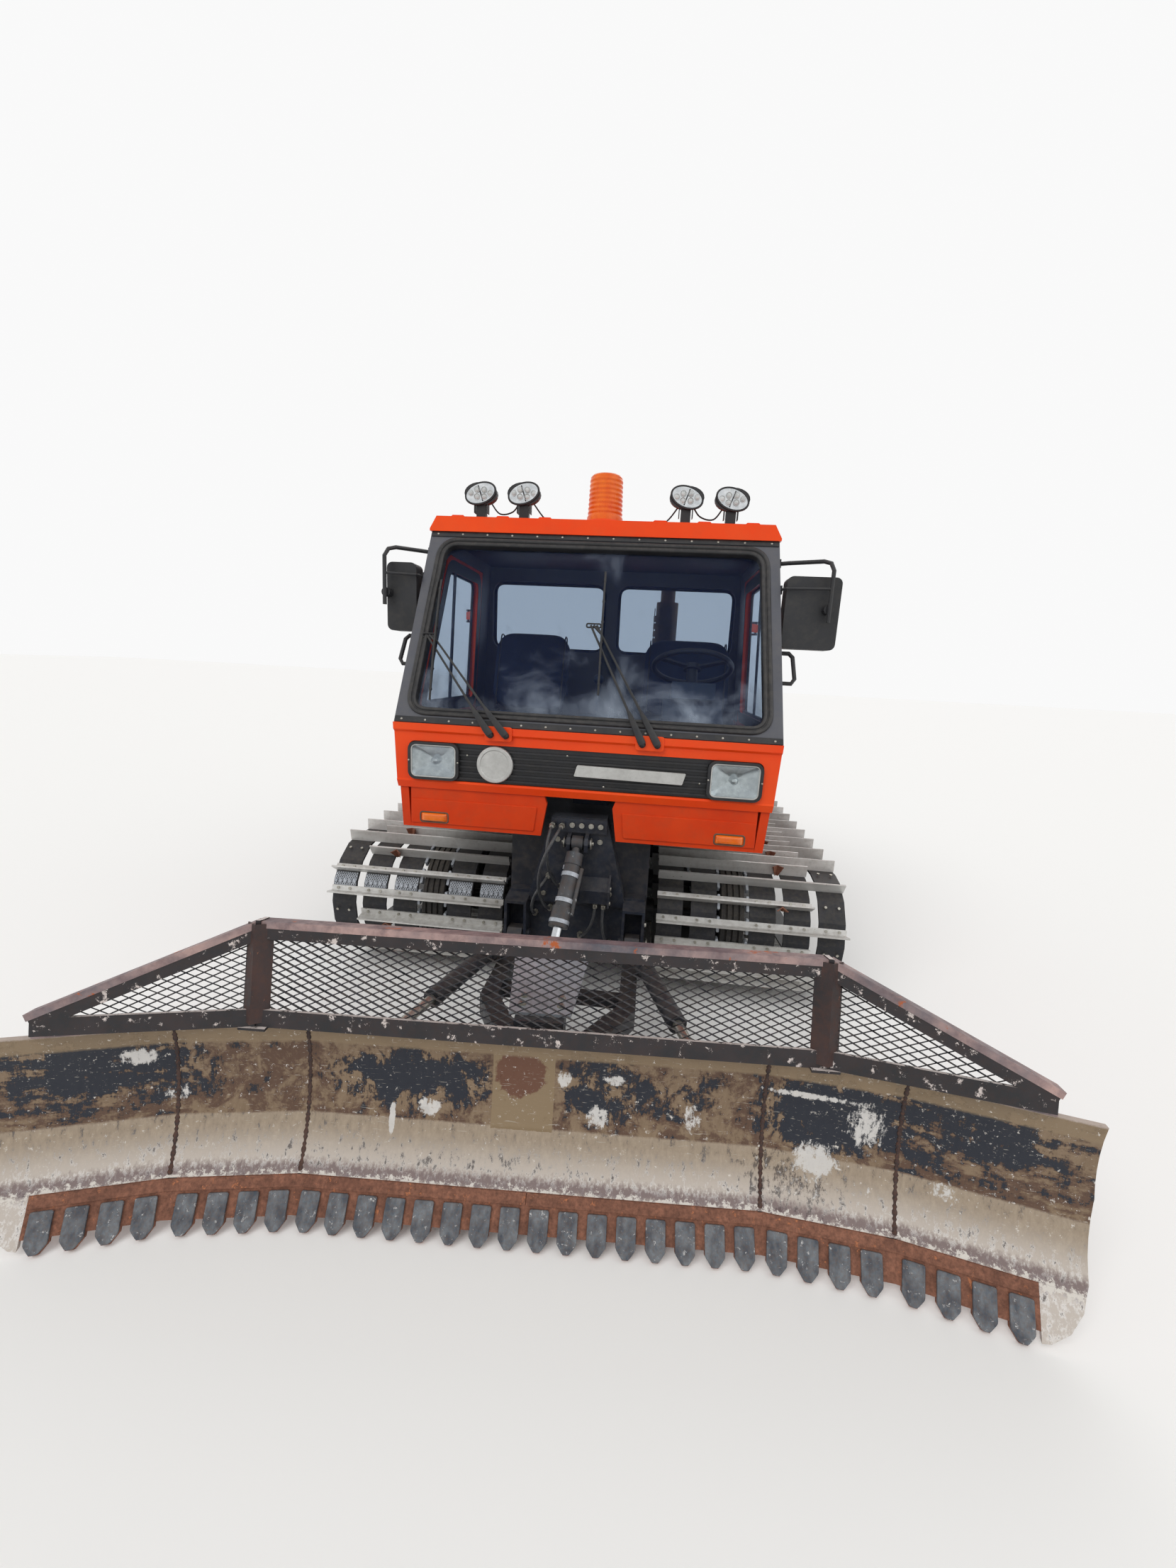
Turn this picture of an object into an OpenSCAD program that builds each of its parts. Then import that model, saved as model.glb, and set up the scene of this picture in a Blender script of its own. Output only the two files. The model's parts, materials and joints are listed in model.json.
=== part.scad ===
// Narrow tracked snow groomer with a push blade, a two-seat cab and a load deck
// Millimetres. X to the driver's side, Y to the rear, Z up, ground at Z = 0

/* [Track] */
// Width over both tracks
track_w = 2500; // [2400:10:2600]
// Gap between the inner ends of the left and right track bars
track_gap = 744; // [700:4:790]
// How far a short bar stops before the track's outer edge
short_bar_cut = 155; // [120:5:190]
// Height of a bar from its foot to its tip
bar_h = 58; // [40:1:70]
// Length of a bar's foot along the track
bar_foot = 60; // [40:1:70]
// Thickness of a belt
belt_t = 10; // [8:1:14]
// Gap between two belts that no wheel runs between
belt_gap = 38; // [30:1:44]
// Gap between the two belts on either side of the tyres
wheel_gap = 155; // [140:1:165]
// Distance from a belt's edge to the end of the bars
belt_edge = 3; // [0:1:10]
// Radius of the tyred wheels at the belt's outer face
wheel_r = 278; // [260:1:290]
// Gap between a tyre and the belts beside it
tyre_play = 19; // [12:1:30]
// Radius of the drive sprocket at the belt's outer face
sprocket_r = 250; // [230:1:270]
// Place of the front wheel from the datum
front_wheel_y = 401; // [380:1:420]
// Height of the front wheel's centre above that of a wheel that stands on the ground
front_wheel_up = 53; // [30:1:80]
// Place of the first ground wheel
ground_wheel_y = 1020; // [980:1:1060]
// Distance from one ground wheel to the next
wheel_pitch = 620; // [600:1:640]
// Place of the sprocket
sprocket_y = 3420; // [3380:1:3500]

/* [Tub] */
// Width of the tub
tub_w = 640; // [600:10:680]
// Underside of the tub
tub_low = 300; // [260:5:340]
// Top of the tub
tub_top = 900; // [880:5:920]
// Front of the tub
tub_front = 60; // [40:5:90]
// Rear of the tub
tub_rear = 3520; // [3450:5:3560]
// Plate thickness of the tub
tub_t = 10; // [6:1:16]

/* [Cab] */
// Half width at the roof
roof_half_w = 786; // [770:1:800]
// Half width at the waist
waist_half_w = 822; // [810:1:835]
// Half width at the sill
sill_half_w = 790; // [780:1:800]
// Height of the sill
sill_z = 882; // [870:1:895]
// Height of the waist
waist_z = 1347; // [1330:1:1360]
// Height of the roof's lower edge
roof_z = 2199; // [2180:1:2220]
// Place of the windscreen's foot
screen_foot_y = -84; // [-100:1:-70]
// Place of the windscreen's head
screen_head_y = 277; // [260:1:290]
// Outer face of the rear wall
rear_wall_y = 1210; // [1190:5:1240]
// Thickness of the side walls and doors
wall_t = 36; // [28:1:44]
// Depth of the windscreen frame
screen_frame_t = 58; // [45:1:65]
// Depth of the front pillar along the vehicle
pillar_d = 165; // [150:5:180]
// Gap round a door
door_gap = 6; // [5:0.5:9]
// Rear edge of the door opening
door_rear_y = 1000; // [970:5:1030]
// Lower edge of the door opening
door_low_z = 980; // [960:5:1010]
// Upper edge of the door opening
door_top_z = 2125; // [2110:1:2140]
// Thickness of the panes
glass_t = 6; // [4:1:8]
// Height of the roof cap
roof_h = 65; // [50:1:80]

/* [Front] */
// Place of the nose's front face
nose_y = -87; // [-95:1:-80]
// Middle of a headlamp from the centre line
lamp_x = 642; // [630:1:650]
// Height of the headlamps' middle
lamp_z = 1186; // [1175:1:1195]
// Width of a headlamp
lamp_w = 200; // [190:1:210]
// Height of a headlamp
lamp_h = 142; // [135:1:150]
// Height of the crease under the headlamps
crease_z = 1093; // [1085:1:1098]
// Half width of the gap between the two valance halves
valance_gap = 165; // [150:1:180]

/* [Deck] */
// Height of the load deck
deck_z = 1120; // [1090:5:1150]
// Half width of the load deck
deck_half_w = 790; // [760:5:800]
// Rear edge of the load deck
deck_rear_y = 3740; // [3650:5:3780]
// Height of the deck's rail
rail_h = 260; // [200:10:320]
// Front of the engine cover
hood_front_y = 1500; // [1480:5:1560]
// Rear of the engine cover
hood_rear_y = 2380; // [2300:5:2450]
// Height of the engine cover above the deck
hood_h = 260; // [220:5:300]

/* [Blade] */
// Turn of the blade as it is parked
blade_yaw = 3.55; // [0:0.05:5]
// Place of the teeth's tips from the datum
blade_y = -1187; // [-1220:1:-1160]
// Distance from the teeth's tips back to the blade's king pin
king_back = 350; // [330:5:380]
// Half width of the blade's straight middle
blade_mid = 665; // [640:5:690]
// Where the blade's outer wings begin
blade_wing = 1010; // [980:5:1040]
// Half width of the blade
blade_half = 1490; // [1450:5:1520]
// Forward sweep of the blade's intermediate sections
mid_sweep = 8; // [5:0.5:10]
// Forward sweep of the blade's outer wings
wing_sweep = 15.5; // [13:0.5:18]
// Height of the moldboard's upper edge
board_top = 540; // [520:5:570]
// Thickness of the moldboard
board_t = 12; // [8:1:16]
// Slope of the cutting edge from the ground
edge_slope = 55; // [50:1:60]
// Length of a tooth and its bar along the slope
edge_len = 140; // [125:1:150]
// Distance from tooth to tooth
tooth_pitch = 83; // [78:1:90]
// Width of a tooth
tooth_w = 56; // [48:1:60]
// Width of the screen between its posts
screen_mid_w = 1640; // [1600:10:1680]
// Height of the screen
screen_h = 250; // [220:5:280]
// Width of a diamond in the screen
diamond_w = 94; // [80:1:110]
// Height of a diamond in the screen
diamond_h = 44; // [36:1:52]
// Width of a strand of the screen
strand_w = 9; // [6:1:12]

/* [Push frame] */
// Place of the push frame's hinge from the datum
hinge_y = -50; // [-60:1:-40]
// Height of the push frame's hinge
hinge_z = 410; // [395:1:425]
// Middle of a push arm from the centre line
arm_x = 265; // [250:1:275]
// Radius of the hinge pins
hinge_pin_r = 20; // [15:1:25]
// Place of the lift cylinder's upper pin
lift_top_y = -60; // [-65:1:-50]
// Height of the lift cylinder's upper pin
lift_top_z = 861; // [850:1:870]
// Place of the lift cylinder's lower pin
lift_low_y = -443; // [-455:1:-430]
// Height of the lift cylinder's lower pin
lift_low_z = 325; // [315:1:335]
// Sideways place of the lift cylinder's lower pin
lift_low_x = -75; // [-80:1:0]
// Outer radius of the lift cylinder
lift_r = 36; // [32:1:40]
// Length of the lift cylinder's barrel from its pin
lift_barrel_len = 375; // [350:1:385]

/* [Hidden] */

orange = "#e8481f";
anthracite = "#4a4b52";
black = "#1c1d22";
rubber = "#232325";
steel = "#77746f";
silver = "#b4b4b0";
glass = "#9fc0cc";

// Distance from the vehicle's datum back to the part's origin, which lies under the middle of its box
datum_back = 1187;
// Clearance between faces of different bodies that only come close
near = 0.3;

// Moves a piece from the vehicle's datum to the part's frame
module placed() translate([0, -datum_back, 0]) children();
// Draws a piece and its mirror image across the centre line
module both() {
    children();
    mirror([1, 0, 0]) children();
}
// Draws the left or the right one of a pair that is modelled at positive X
module on_side(side) mirror([side < 0 ? 1 : 0, 0, 0]) children();
// Extrudes an outline in Y and Z from x0 to x1
module prism_x(pts, x0, x1) translate([x0, 0, 0]) rotate([90, 0, 90]) linear_extrude(x1 - x0) polygon(pts);
// Extrudes an outline in X and Z from y0 to y1
module prism_y(pts, y0, y1) translate([0, y1, 0]) rotate([90, 0, 0]) linear_extrude(y1 - y0) polygon(pts);
// Extrudes an outline in X and Y from z0 to z1
module prism_z(pts, z0, z1) translate([0, 0, z0]) linear_extrude(z1 - z0) polygon(pts);
// Box given by its two corners
module block(a, b) translate(a) cube([b[0] - a[0], b[1] - a[1], b[2] - a[2]]);
// Round bar along X
module pin_x(x0, x1, y, z, r) translate([x0, y, z]) rotate([0, 90, 0]) cylinder(h = x1 - x0, r = r, $fn = 48);
// Turns the Z axis to the direction from a to b and starts at a
module aim(a, b) {
    d = b - a;
    l = norm(d);
    translate(a) rotate([0, acos(d[2] / l), atan2(d[1], d[0])]) children();
}
// Round bar from a to b
module rod(a, b, r) aim(a, b) cylinder(h = norm(b - a), r = r, $fn = 48);
// Round bar through a list of points, with round corners
module bent_rod(pts, r) {
    for (i = [0 : len(pts) - 2]) rod(pts[i], pts[i + 1], r);
    for (i = [1 : len(pts) - 2]) translate(pts[i]) sphere(r = r, $fn = 32);
}
// Unit vector
function unit(v) = v / norm(v);
// Points of a fillet of radius r at corner b between a and c
function fillet(a, b, c, r, n) =
    let (u = unit(a - b), v = unit(c - b), half = acos(u * v) / 2,
         mid = b + unit(u + v) * r / sin(half),
         s = b + u * r / tan(half), e = b + v * r / tan(half),
         a0 = atan2(s[1] - mid[1], s[0] - mid[0]), a1 = atan2(e[1] - mid[1], e[0] - mid[0]),
         turn = ((a1 - a0 + 540) % 360) - 180)
    [for (k = [0 : n]) mid + r * [cos(a0 + turn * k / n), sin(a0 + turn * k / n)]];
// Outline with every corner rounded
function rounded(p, r, n = 5) =
    [for (i = [0 : len(p) - 1]) each fillet(p[(i + len(p) - 1) % len(p)], p[i], p[(i + 1) % len(p)], r, n)];
// Rectangle outline by its middle and size
function rect(c, w, h) = [c + [-w, -h] / 2, c + [w, -h] / 2, c + [w, h] / 2, c + [-w, h] / 2];

// Regular outline with n sides round a middle
function regular(c, r, n) = [for (i = [0 : n - 1]) c + r * [cos(360 * i / n), sin(360 * i / n)]];

// Track loop: each row is the outward angle of a straight stretch, a wheel centre and its radius
wheel_z = wheel_r + bar_h;
front_c = [front_wheel_y, wheel_z + front_wheel_up];
first_c = [ground_wheel_y, wheel_z];
last_c = [ground_wheel_y + 3 * wheel_pitch, wheel_z];
sprocket_c = [sprocket_y, front_c[1] + wheel_r - sprocket_r];
front_angle = 270 - atan2(front_wheel_up, ground_wheel_y - front_wheel_y);
rear_d = sprocket_c - last_c;
rear_angle = 270 + atan2(rear_d[1], rear_d[0]) + asin((wheel_r - sprocket_r) / norm(rear_d));
front_links = 8;
sprocket_links = 7;
front_step = (front_angle - 90) / front_links;
sprocket_step = (450 - rear_angle) / sprocket_links;
loop_lines = concat(
    [[90, front_c, wheel_r]],
    [for (k = [0 : front_links - 1]) [90 + front_step * (k + 0.5), front_c, wheel_r]],
    [[front_angle, front_c, wheel_r], [270, first_c, wheel_r], [rear_angle, last_c, wheel_r]],
    [for (k = [0 : sprocket_links - 1]) [rear_angle + sprocket_step * (k + 0.5), sprocket_c, sprocket_r]]
);
function line_reach(l, inset) = l[1] * [cos(l[0]), sin(l[0])] + l[2] - inset;
function meet(l, m, inset) =
    let (c = line_reach(l, inset), d = line_reach(m, inset), s = sin(m[0] - l[0]))
    [c * sin(m[0]) - d * sin(l[0]), d * cos(l[0]) - c * cos(m[0])] / s;
function loop(inset) =
    [for (i = [0 : len(loop_lines) - 1]) meet(loop_lines[i], loop_lines[(i + 1) % len(loop_lines)], inset)];
loop_out = loop(0);
// Number of bars on each stretch of the loop, in the same order
bars_on = [31, 1, 1, 1, 1, 1, 1, 1, 1, 6, 19, 6, 1, 1, 1, 1, 1, 1, 1];
// Every bar's place: its point on the loop and the loop's outward angle there
bar_places = [for (i = [1 : len(loop_lines)]) let (k = i % len(loop_lines), n = bars_on[k],
        a = loop_out[(k + len(loop_lines) - 1) % len(loop_lines)], b = loop_out[k])
    for (j = [0 : n - 1]) [a + (b - a) * (j + 0.5) / n, loop_lines[k][0]]];
// Where two long bars follow each other at the belts' joint, on the left and on the right
left_joint = 3;
right_joint = 30;
function is_long(i, side) = side < 0 ? (i < left_joint) == (i % 2 == 0) : (i < right_joint) == (i % 2 == 1);
bar_in = track_gap / 2;
bar_out = track_w / 2;
// The five belts share what their gaps leave of a bar's length
belt_w = (bar_out - bar_in - 2 * belt_edge - 3 * belt_gap - wheel_gap) / 5;
// Inner edges of the five belts, from the inner end of the bars
belt_starts = [for (k = [0 : 4]) belt_edge + k * (belt_w + belt_gap) + (k > 1 ? wheel_gap - belt_gap : 0)];
tyre_w = wheel_gap - 2 * tyre_play;
tyre_x = bar_in + belt_starts[2] - wheel_gap / 2;
bar_t = 8;
// Height of a bar's foot above the belt
bar_seat = 0.05;
bar_outline = [[-bar_t / 2, bar_seat], [bar_foot / 2, bar_seat], [bar_foot / 2, bar_t], [bar_t / 2, bar_t], [bar_t / 2, bar_h],
    [-bar_t / 2, bar_h]];

// One track bar at the given place
module bar(p, x1) translate([0, p[0][0], p[0][1]]) rotate([p[1] - 90, 0, 0]) prism_x(bar_outline, bar_in, x1);
module track_bars() color(silver) placed() for (side = [-1, 1]) on_side(side)
    for (i = [0 : len(bar_places) - 1]) bar(bar_places[i], is_long(i, side) ? bar_out : bar_out - short_bar_cut);
// The five belts of each track
module belts() color(rubber) placed() {
    outer = loop_out;
    inner = loop(belt_t);
    n = len(outer);
    both() for (x = belt_starts) translate([bar_in + x, 0, 0]) rotate([90, 0, 90]) linear_extrude(belt_w)
        polygon(concat(outer, inner), [[for (i = [0 : n - 1]) i], [for (i = [0 : n - 1]) n + i]]);
}

wheel_centres = concat([front_c], [for (i = [0 : 3]) first_c + [i * wheel_pitch, 0]]);
rim_r = 165;
module ring_x(x0, x1, c, r_in, r_out) translate([x0, c[0], c[1]]) rotate([90, 0, 90]) linear_extrude(x1 - x0)
    difference() {
        circle(r = r_out, $fn = 64);
        circle(r = r_in, $fn = 64);
    }
tyre_sides = 20;
seat_sides = 12;
module tyres() color(rubber) placed() both() for (c = wheel_centres) difference() {
    prism_x(regular(c, wheel_r - near, tyre_sides), tyre_x - tyre_w / 2, tyre_x + tyre_w / 2);
    prism_x(regular(c, (rim_r + near) / cos(180 / seat_sides), seat_sides), tyre_x - tyre_w, tyre_x + tyre_w);
}

rim_w = 90;
hub_r = 45;
module rims() color(silver) placed() both() for (c = wheel_centres) {
    ring_x(tyre_x - rim_w / 2, tyre_x + rim_w / 2, c, rim_r - 12, rim_r);
    ring_x(tyre_x - 8, tyre_x + 8, c, axle_r, rim_r - 12);
    ring_x(tyre_x - 50, tyre_x + 50, c, axle_r, hub_r);
}

axle_r = 28;
swing_back = 170;
module axles() color(black) placed() both() {
    for (c = wheel_centres) {
        pin_x(tub_w / 2, tyre_x + 60, c[0], c[1], axle_r);
        ring_x(tub_w / 2, tub_w / 2 + 45, c, axle_r, 60);
    }
    pin_x(tub_w / 2, tyre_x + 110, sprocket_c[0], sprocket_c[1], axle_r);
    ring_x(tub_w / 2, tub_w / 2 + 45, sprocket_c, axle_r, 110);
}

tooth_count = 15;
sprocket_tooth = 34;
sprocket_outline = [for (i = [0 : tooth_count - 1], e = [[-0.5, -1], [-0.28, 0], [0.28, 0], [0.5, -1]])
    let (a = 360 * (i + e[0] * 0.9) / tooth_count, r = sprocket_r - near + e[1] * sprocket_tooth)
    sprocket_c + r * [cos(a), sin(a)]];
module sprockets() color(black) placed() both() difference() {
    prism_x(sprocket_outline, tyre_x - 50, tyre_x + 50);
    pin_x(tyre_x - 60, tyre_x + 60, sprocket_c[0], sprocket_c[1], axle_r);
}

module tub() color(black) placed() difference() {
    prism_x([[tub_front, tub_low + 60], [tub_front + 120, tub_low], [tub_rear - 200, tub_low],
        [tub_rear, tub_low + 120], [tub_rear, tub_top], [tub_front, tub_top]], -tub_w / 2, tub_w / 2);
    prism_x([[tub_front + tub_t, tub_low + 70], [tub_front + 125, tub_low + tub_t], [tub_rear - 205, tub_low + tub_t],
        [tub_rear - tub_t, tub_low + 125], [tub_rear - tub_t, tub_top + 1], [tub_front + tub_t, tub_top + 1]],
        -tub_w / 2 + tub_t, tub_w / 2 - tub_t);
}

// Front tower: tapered plate box before the tub, ears for the lift cylinder, clevises for the push frame
tower_y = -22;
ear_gap = 62;
foot_box_z = 575;
valve_x = [22, 146];
// Row of fittings and bolts on the manifold
manifold_x = -113;
manifold_pitch = 41.8;
manifold_z = 936;
module front_tower() color(black) placed() {
    difference() {
        union() {
            prism_y([[-225, 560], [225, 560], [122, 965], [-122, 965]], tower_y, tub_front);
            prism_y([[-310, 330], [310, 330], [310, 600], [-310, 600]], tower_y + 20, tub_front);
            both() prism_x([[tower_y + 10, 800], [lift_top_y - 28, lift_top_z - 34], [lift_top_y - 34, lift_top_z],
                [lift_top_y - 20, lift_top_z + 28], [tower_y + 10, 905]], ear_gap / 2, ear_gap / 2 + 16);
            both() for (x = [arm_x - 50, arm_x + 38]) prism_x([[tower_y + 30, 330], [hinge_y - 30, hinge_z - 34],
                [hinge_y - 38, hinge_z], [hinge_y - 38, foot_box_z], [tower_y + 30, foot_box_z + 15]], x, x + 12);
            both() prism_x([[tower_y + 30, foot_box_z + 15], [hinge_y - 38, foot_box_z], [hinge_y - 38, foot_box_z - 12],
                [tower_y + 30, foot_box_z]], arm_x - 50, arm_x + 50);
            // Sloped valve box with its flange
            prism_x([[tower_y + 5, 592], [tower_y - 58, 592], [tower_y - 58, 650], [tower_y + 5, 700]], valve_x[0], valve_x[1]);
            prism_x([[tower_y + 5, 580], [tower_y - 70, 580], [tower_y - 70, 656], [tower_y + 5, 716]], valve_x[1], valve_x[1] + 8);
        }
        pin_x(-200, 200, lift_top_y, lift_top_z, hinge_pin_r);
        both() pin_x(arm_x - 70, arm_x + 70, hinge_y, hinge_z, hinge_pin_r);
    }
    pin_x(-ear_gap / 2 - 26, ear_gap / 2 + 26, lift_top_y, lift_top_z, hinge_pin_r);
    both() pin_x(arm_x - 62, arm_x + 62, hinge_y, hinge_z, hinge_pin_r);
    for (i = [0 : 5]) translate([manifold_x + manifold_pitch * i, tower_y - 14, manifold_z]) rotate([90, 0, 0])
        cylinder(h = i < 2 ? 30 : 12, r = 11, $fn = 24);
    block([-124, tower_y - 14, 900], [124, tower_y, 962]);
}

// Outline of the side wall's section from sill to roof, with its outer face moved inward by d
function side_section(d0, d1, z0, z1) =
    let (xs = function (z) z < waist_z
        ? sill_half_w + (waist_half_w - sill_half_w) * (z - sill_z) / (waist_z - sill_z)
        : waist_half_w + (roof_half_w - waist_half_w) * (z - waist_z) / (roof_z - waist_z),
        zs = z0 < waist_z && z1 > waist_z ? [z0, waist_z, z1] : [z0, z1], n = len(zs))
    concat([for (z = zs) [xs(z) - d0, z]], [for (i = [n - 1 : -1 : 0]) [xs(zs[i]) - d1, zs[i]]]);
screen_run = (screen_head_y - screen_foot_y) / (roof_z - waist_z);
screen_lean = atan(screen_run);
function screen_y(z) = screen_foot_y + screen_run * (z - waist_z);
frame_back = screen_frame_t / cos(screen_lean);
// Outline of the door as seen from the side, grown by g
function door_outline(g) = [
    [screen_y(waist_z) + pillar_d - g, door_low_z - g],
    [door_rear_y + g, door_low_z - g],
    [door_rear_y + g, door_top_z + g],
    [screen_y(door_top_z) + pillar_d - g, door_top_z + g],
    [screen_y(waist_z) + pillar_d - g, waist_z]
];
window_low = waist_z + 55;
window_edge = 62;
door_window = rounded([
    [screen_y(window_low) + pillar_d + window_edge, window_low],
    [door_rear_y - window_edge, window_low],
    [door_rear_y - window_edge, door_top_z - window_edge],
    [screen_y(door_top_z - window_edge) + pillar_d + window_edge, door_top_z - window_edge]
], 50);
// Reach in X of the outlines that cut a side wall
cut_in = 500;
cut_out = 1100;
module side_wall(y0, y1, z0, z1, d0 = 0, d1 = wall_t) prism_y(side_section(d0, d1, z0, z1), y0, y1);

door_hinge = [max(waist_half_w, roof_half_w) + 16, door_rear_y + door_gap / 2];
door_hinge_z = [1090, 1880];
module door_lugs() for (z = door_hinge_z) {
    for (z0 = [z - knuckle / 2 - lug_gap - lug_t, z + knuckle / 2 + lug_gap])
        prism_z([[door_hinge[0] - knuckle_r, door_hinge[1]], [door_hinge[0], door_hinge[1] - knuckle_r],
            [door_hinge[0] + knuckle_r, door_hinge[1]], [door_hinge[0] + knuckle_r, door_hinge[1] + 20],
            [wall_x(z0) - 8, door_hinge[1] + 50], [wall_x(z0) - 8, door_hinge[1] + 12]], z0, z0 + lug_t);
    translate([door_hinge[0], door_hinge[1], z - knuckle / 2 - lug_gap - 1])
        cylinder(h = knuckle + 2 * lug_gap + 2, r = hinge_r, $fn = 48);
}
module door_knuckles() for (z = door_hinge_z) {
    translate([door_hinge[0], door_hinge[1], z - knuckle / 2]) cylinder(h = knuckle, r = knuckle_r, $fn = 48);
    prism_z([[door_hinge[0] - 8, door_hinge[1] - 4], [door_hinge[0] + 8, door_hinge[1] - 4],
        [wall_x(z) - 4, door_rear_y - 70], [wall_x(z) - 10, door_rear_y - 40]], z - knuckle / 2, z + knuckle / 2);
}
module door(side) color(orange) placed() on_side(side) {
    difference() {
        union() {
            door_shell();
            door_knuckles();
        }
        translate([door_hinge[0], door_hinge[1], 900]) cylinder(h = 1200, r = hinge_r + hinge_play, $fn = 48);
    }
    // Door handle at the front edge
    translate([waist_half_w - 3, 150, waist_z + 20]) rotate([0, 90, 0]) cylinder(h = 26, r = 14, $fn = 32);
    block([waist_half_w + 16, 140, waist_z + 10], [waist_half_w + 30, 240, waist_z + 32]);
}
module door_shell() difference() {
        intersection() {
            side_wall(screen_foot_y, door_rear_y, door_low_z, door_top_z);
            prism_x(door_outline(0), cut_in, cut_out);
        }
    prism_x(door_window, cut_in, cut_out);
}
module door_left() door(-1);
module door_right() door(1);
module door_glass(side) color(glass) placed() on_side(side) intersection() {
    side_wall(0, door_rear_y, waist_z + 10, door_top_z - 10, wall_t / 2 - glass_t / 2, wall_t / 2 + glass_t / 2);
    prism_x(door_window, cut_in, cut_out);
}
module door_glass_left() door_glass(-1);
module door_glass_right() door_glass(1);

module side_frames() color(anthracite) placed() both() {
    difference() {
        intersection() {
            side_wall(screen_foot_y, rear_wall_y, waist_z, roof_z);
            prism_x([[screen_foot_y + frame_back, waist_z], [rear_wall_y, waist_z], [rear_wall_y, roof_z],
                [screen_head_y + frame_back, roof_z]], cut_in, cut_out);
        }
        prism_x(door_outline(door_gap), cut_in, cut_out);
    }
    intersection() {
        door_lugs();
        block([0, 0, waist_z], [1000, 2000, roof_z]);
    }
}

// Orange lower sides and the two valance halves under the nose
module lower_panels() color(orange) placed() {
    both() difference() {
        side_wall(nose_y + nose_d + near, rear_wall_y, sill_z, waist_z);
        prism_x(door_outline(door_gap), cut_in, cut_out);
    }
    both() intersection() {
        door_lugs();
        block([0, 0, sill_z], [1000, 2000, waist_z]);
    }
    both() prism_y([[valance_gap, sill_z], [sill_half_w - wall_t, sill_z], [sill_half_w - wall_t, nose_low - near],
        [valance_gap - 10, nose_low - near], [valance_gap - 22, nose_low - 35]], nose_y + 20, nose_y + 44);
    both() side_wall(nose_y + 20, nose_y + nose_d, sill_z, nose_low - near);
}

// Nose panel with its crease, recess for the grille band and openings for the headlamps
lamp_lip = 13;
bezel_w = lamp_w + 2 * lamp_lip;
bezel_h = lamp_h + 22;
band_half_w = lamp_x + bezel_w / 2 + 2;
band_h = bezel_h + 4;
flange = 12;
nose_d = 70;
nose_low = sill_z + 180;
nose_t = 27;
module cab_nose() color(orange) placed() difference() {
    intersection() {
        prism_x([[nose_y + 12, nose_low], [nose_y, crease_z], [nose_y + 3, crease_z + 8], [nose_y + 3, waist_z - 40],
            [nose_y - 8, waist_z - 30], [nose_y - 8, waist_z], [nose_y + nose_d, waist_z], [nose_y + nose_d, nose_low]],
            -900, 900);
        prism_y(concat([[-sill_half_w - 10, sill_z], [sill_half_w + 10, sill_z]],
            [[waist_half_w, waist_z], [-waist_half_w, waist_z]]), nose_y - 20, nose_y + nose_d + 1);
    }
    prism_y(rounded(rect([0, lamp_z], 2 * band_half_w, band_h), 30), nose_y - 20, nose_y + nose_d + 2);
    block([-band_half_w - flange - 4, nose_y + 3 + nose_t, sill_z],
        [band_half_w + flange + 4, nose_y + nose_d + 2, waist_z - 20]);
}

rib_count = 6;
rib_pitch = (band_h - 16) / rib_count;
module grille() color(black) placed() {
    difference() {
        union() {
            prism_y(rounded(rect([0, lamp_z], 2 * band_half_w - 4, band_h - 4), 30), nose_y + 12, nose_y + 3 + nose_t + near);
            prism_y(rounded(rect([0, lamp_z], 2 * (band_half_w + flange), band_h + 2 * flange), 30),
                nose_y + 3 + nose_t + near, nose_y + 3 + nose_t + 10);
            for (i = [0 : rib_count - 1]) block([-lamp_x + bezel_w / 2, nose_y + 2, lamp_z - band_h / 2 + 12 + rib_pitch * i],
                [lamp_x - bezel_w / 2, nose_y + 13, lamp_z - band_h / 2 + 20 + rib_pitch * i]);
            both() prism_y(rounded(rect([lamp_x, lamp_z], bezel_w, bezel_h), 34), nose_y - 12, nose_y + 20);
        }
        both() prism_y(rounded(rect([lamp_x, lamp_z], lamp_w, lamp_h), 24), nose_y - 20, nose_y + 40);
    }
}
module headlamps() color("#e8edf0") placed() both()
    prism_y(rounded(rect([lamp_x, lamp_z], lamp_w - 2 * near, lamp_h - 2 * near), 24), nose_y - 6, nose_y + 26);
module indicators() color("#f08a10") placed() both()
    prism_y(rounded(rect([646, 930], 128, 46), 10), nose_y + 2, nose_y + 20);

// Windscreen frame in the plane of the screen; outline X and distance up the slope
screen_len = (roof_z - waist_z) / cos(screen_lean);
opening_low = 60;
opening_high = 57;
// Distance from the screen's opening to the frame's outer edge, at its foot and its head
opening_foot_edge = 66;
opening_head_edge = 66;
opening_foot_w = 2 * (waist_half_w - opening_foot_edge);
opening_head_w = 2 * (roof_half_w - opening_head_edge);
screen_opening = rounded([[-opening_foot_w / 2, opening_low], [opening_foot_w / 2, opening_low],
    [opening_head_w / 2, screen_len - opening_high], [-opening_head_w / 2, screen_len - opening_high]], 75, 6);
module in_screen(h0) translate([0, screen_foot_y, waist_z]) rotate([90 - screen_lean, 0, 0]) translate([0, 0, h0]) children();
module windscreen_frame() color(anthracite) placed() intersection() {
    in_screen(-screen_frame_t) linear_extrude(screen_frame_t) difference() {
        polygon([[-waist_half_w, -40], [waist_half_w, -40], [waist_half_w, 0], [roof_half_w, screen_len],
            [roof_half_w, screen_len + 40], [-roof_half_w, screen_len + 40], [-roof_half_w, screen_len], [-waist_half_w, 0]]);
        polygon(screen_opening);
    }
    block([-cut_out, -200, waist_z], [cut_out, 500, roof_z]);
}

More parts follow.
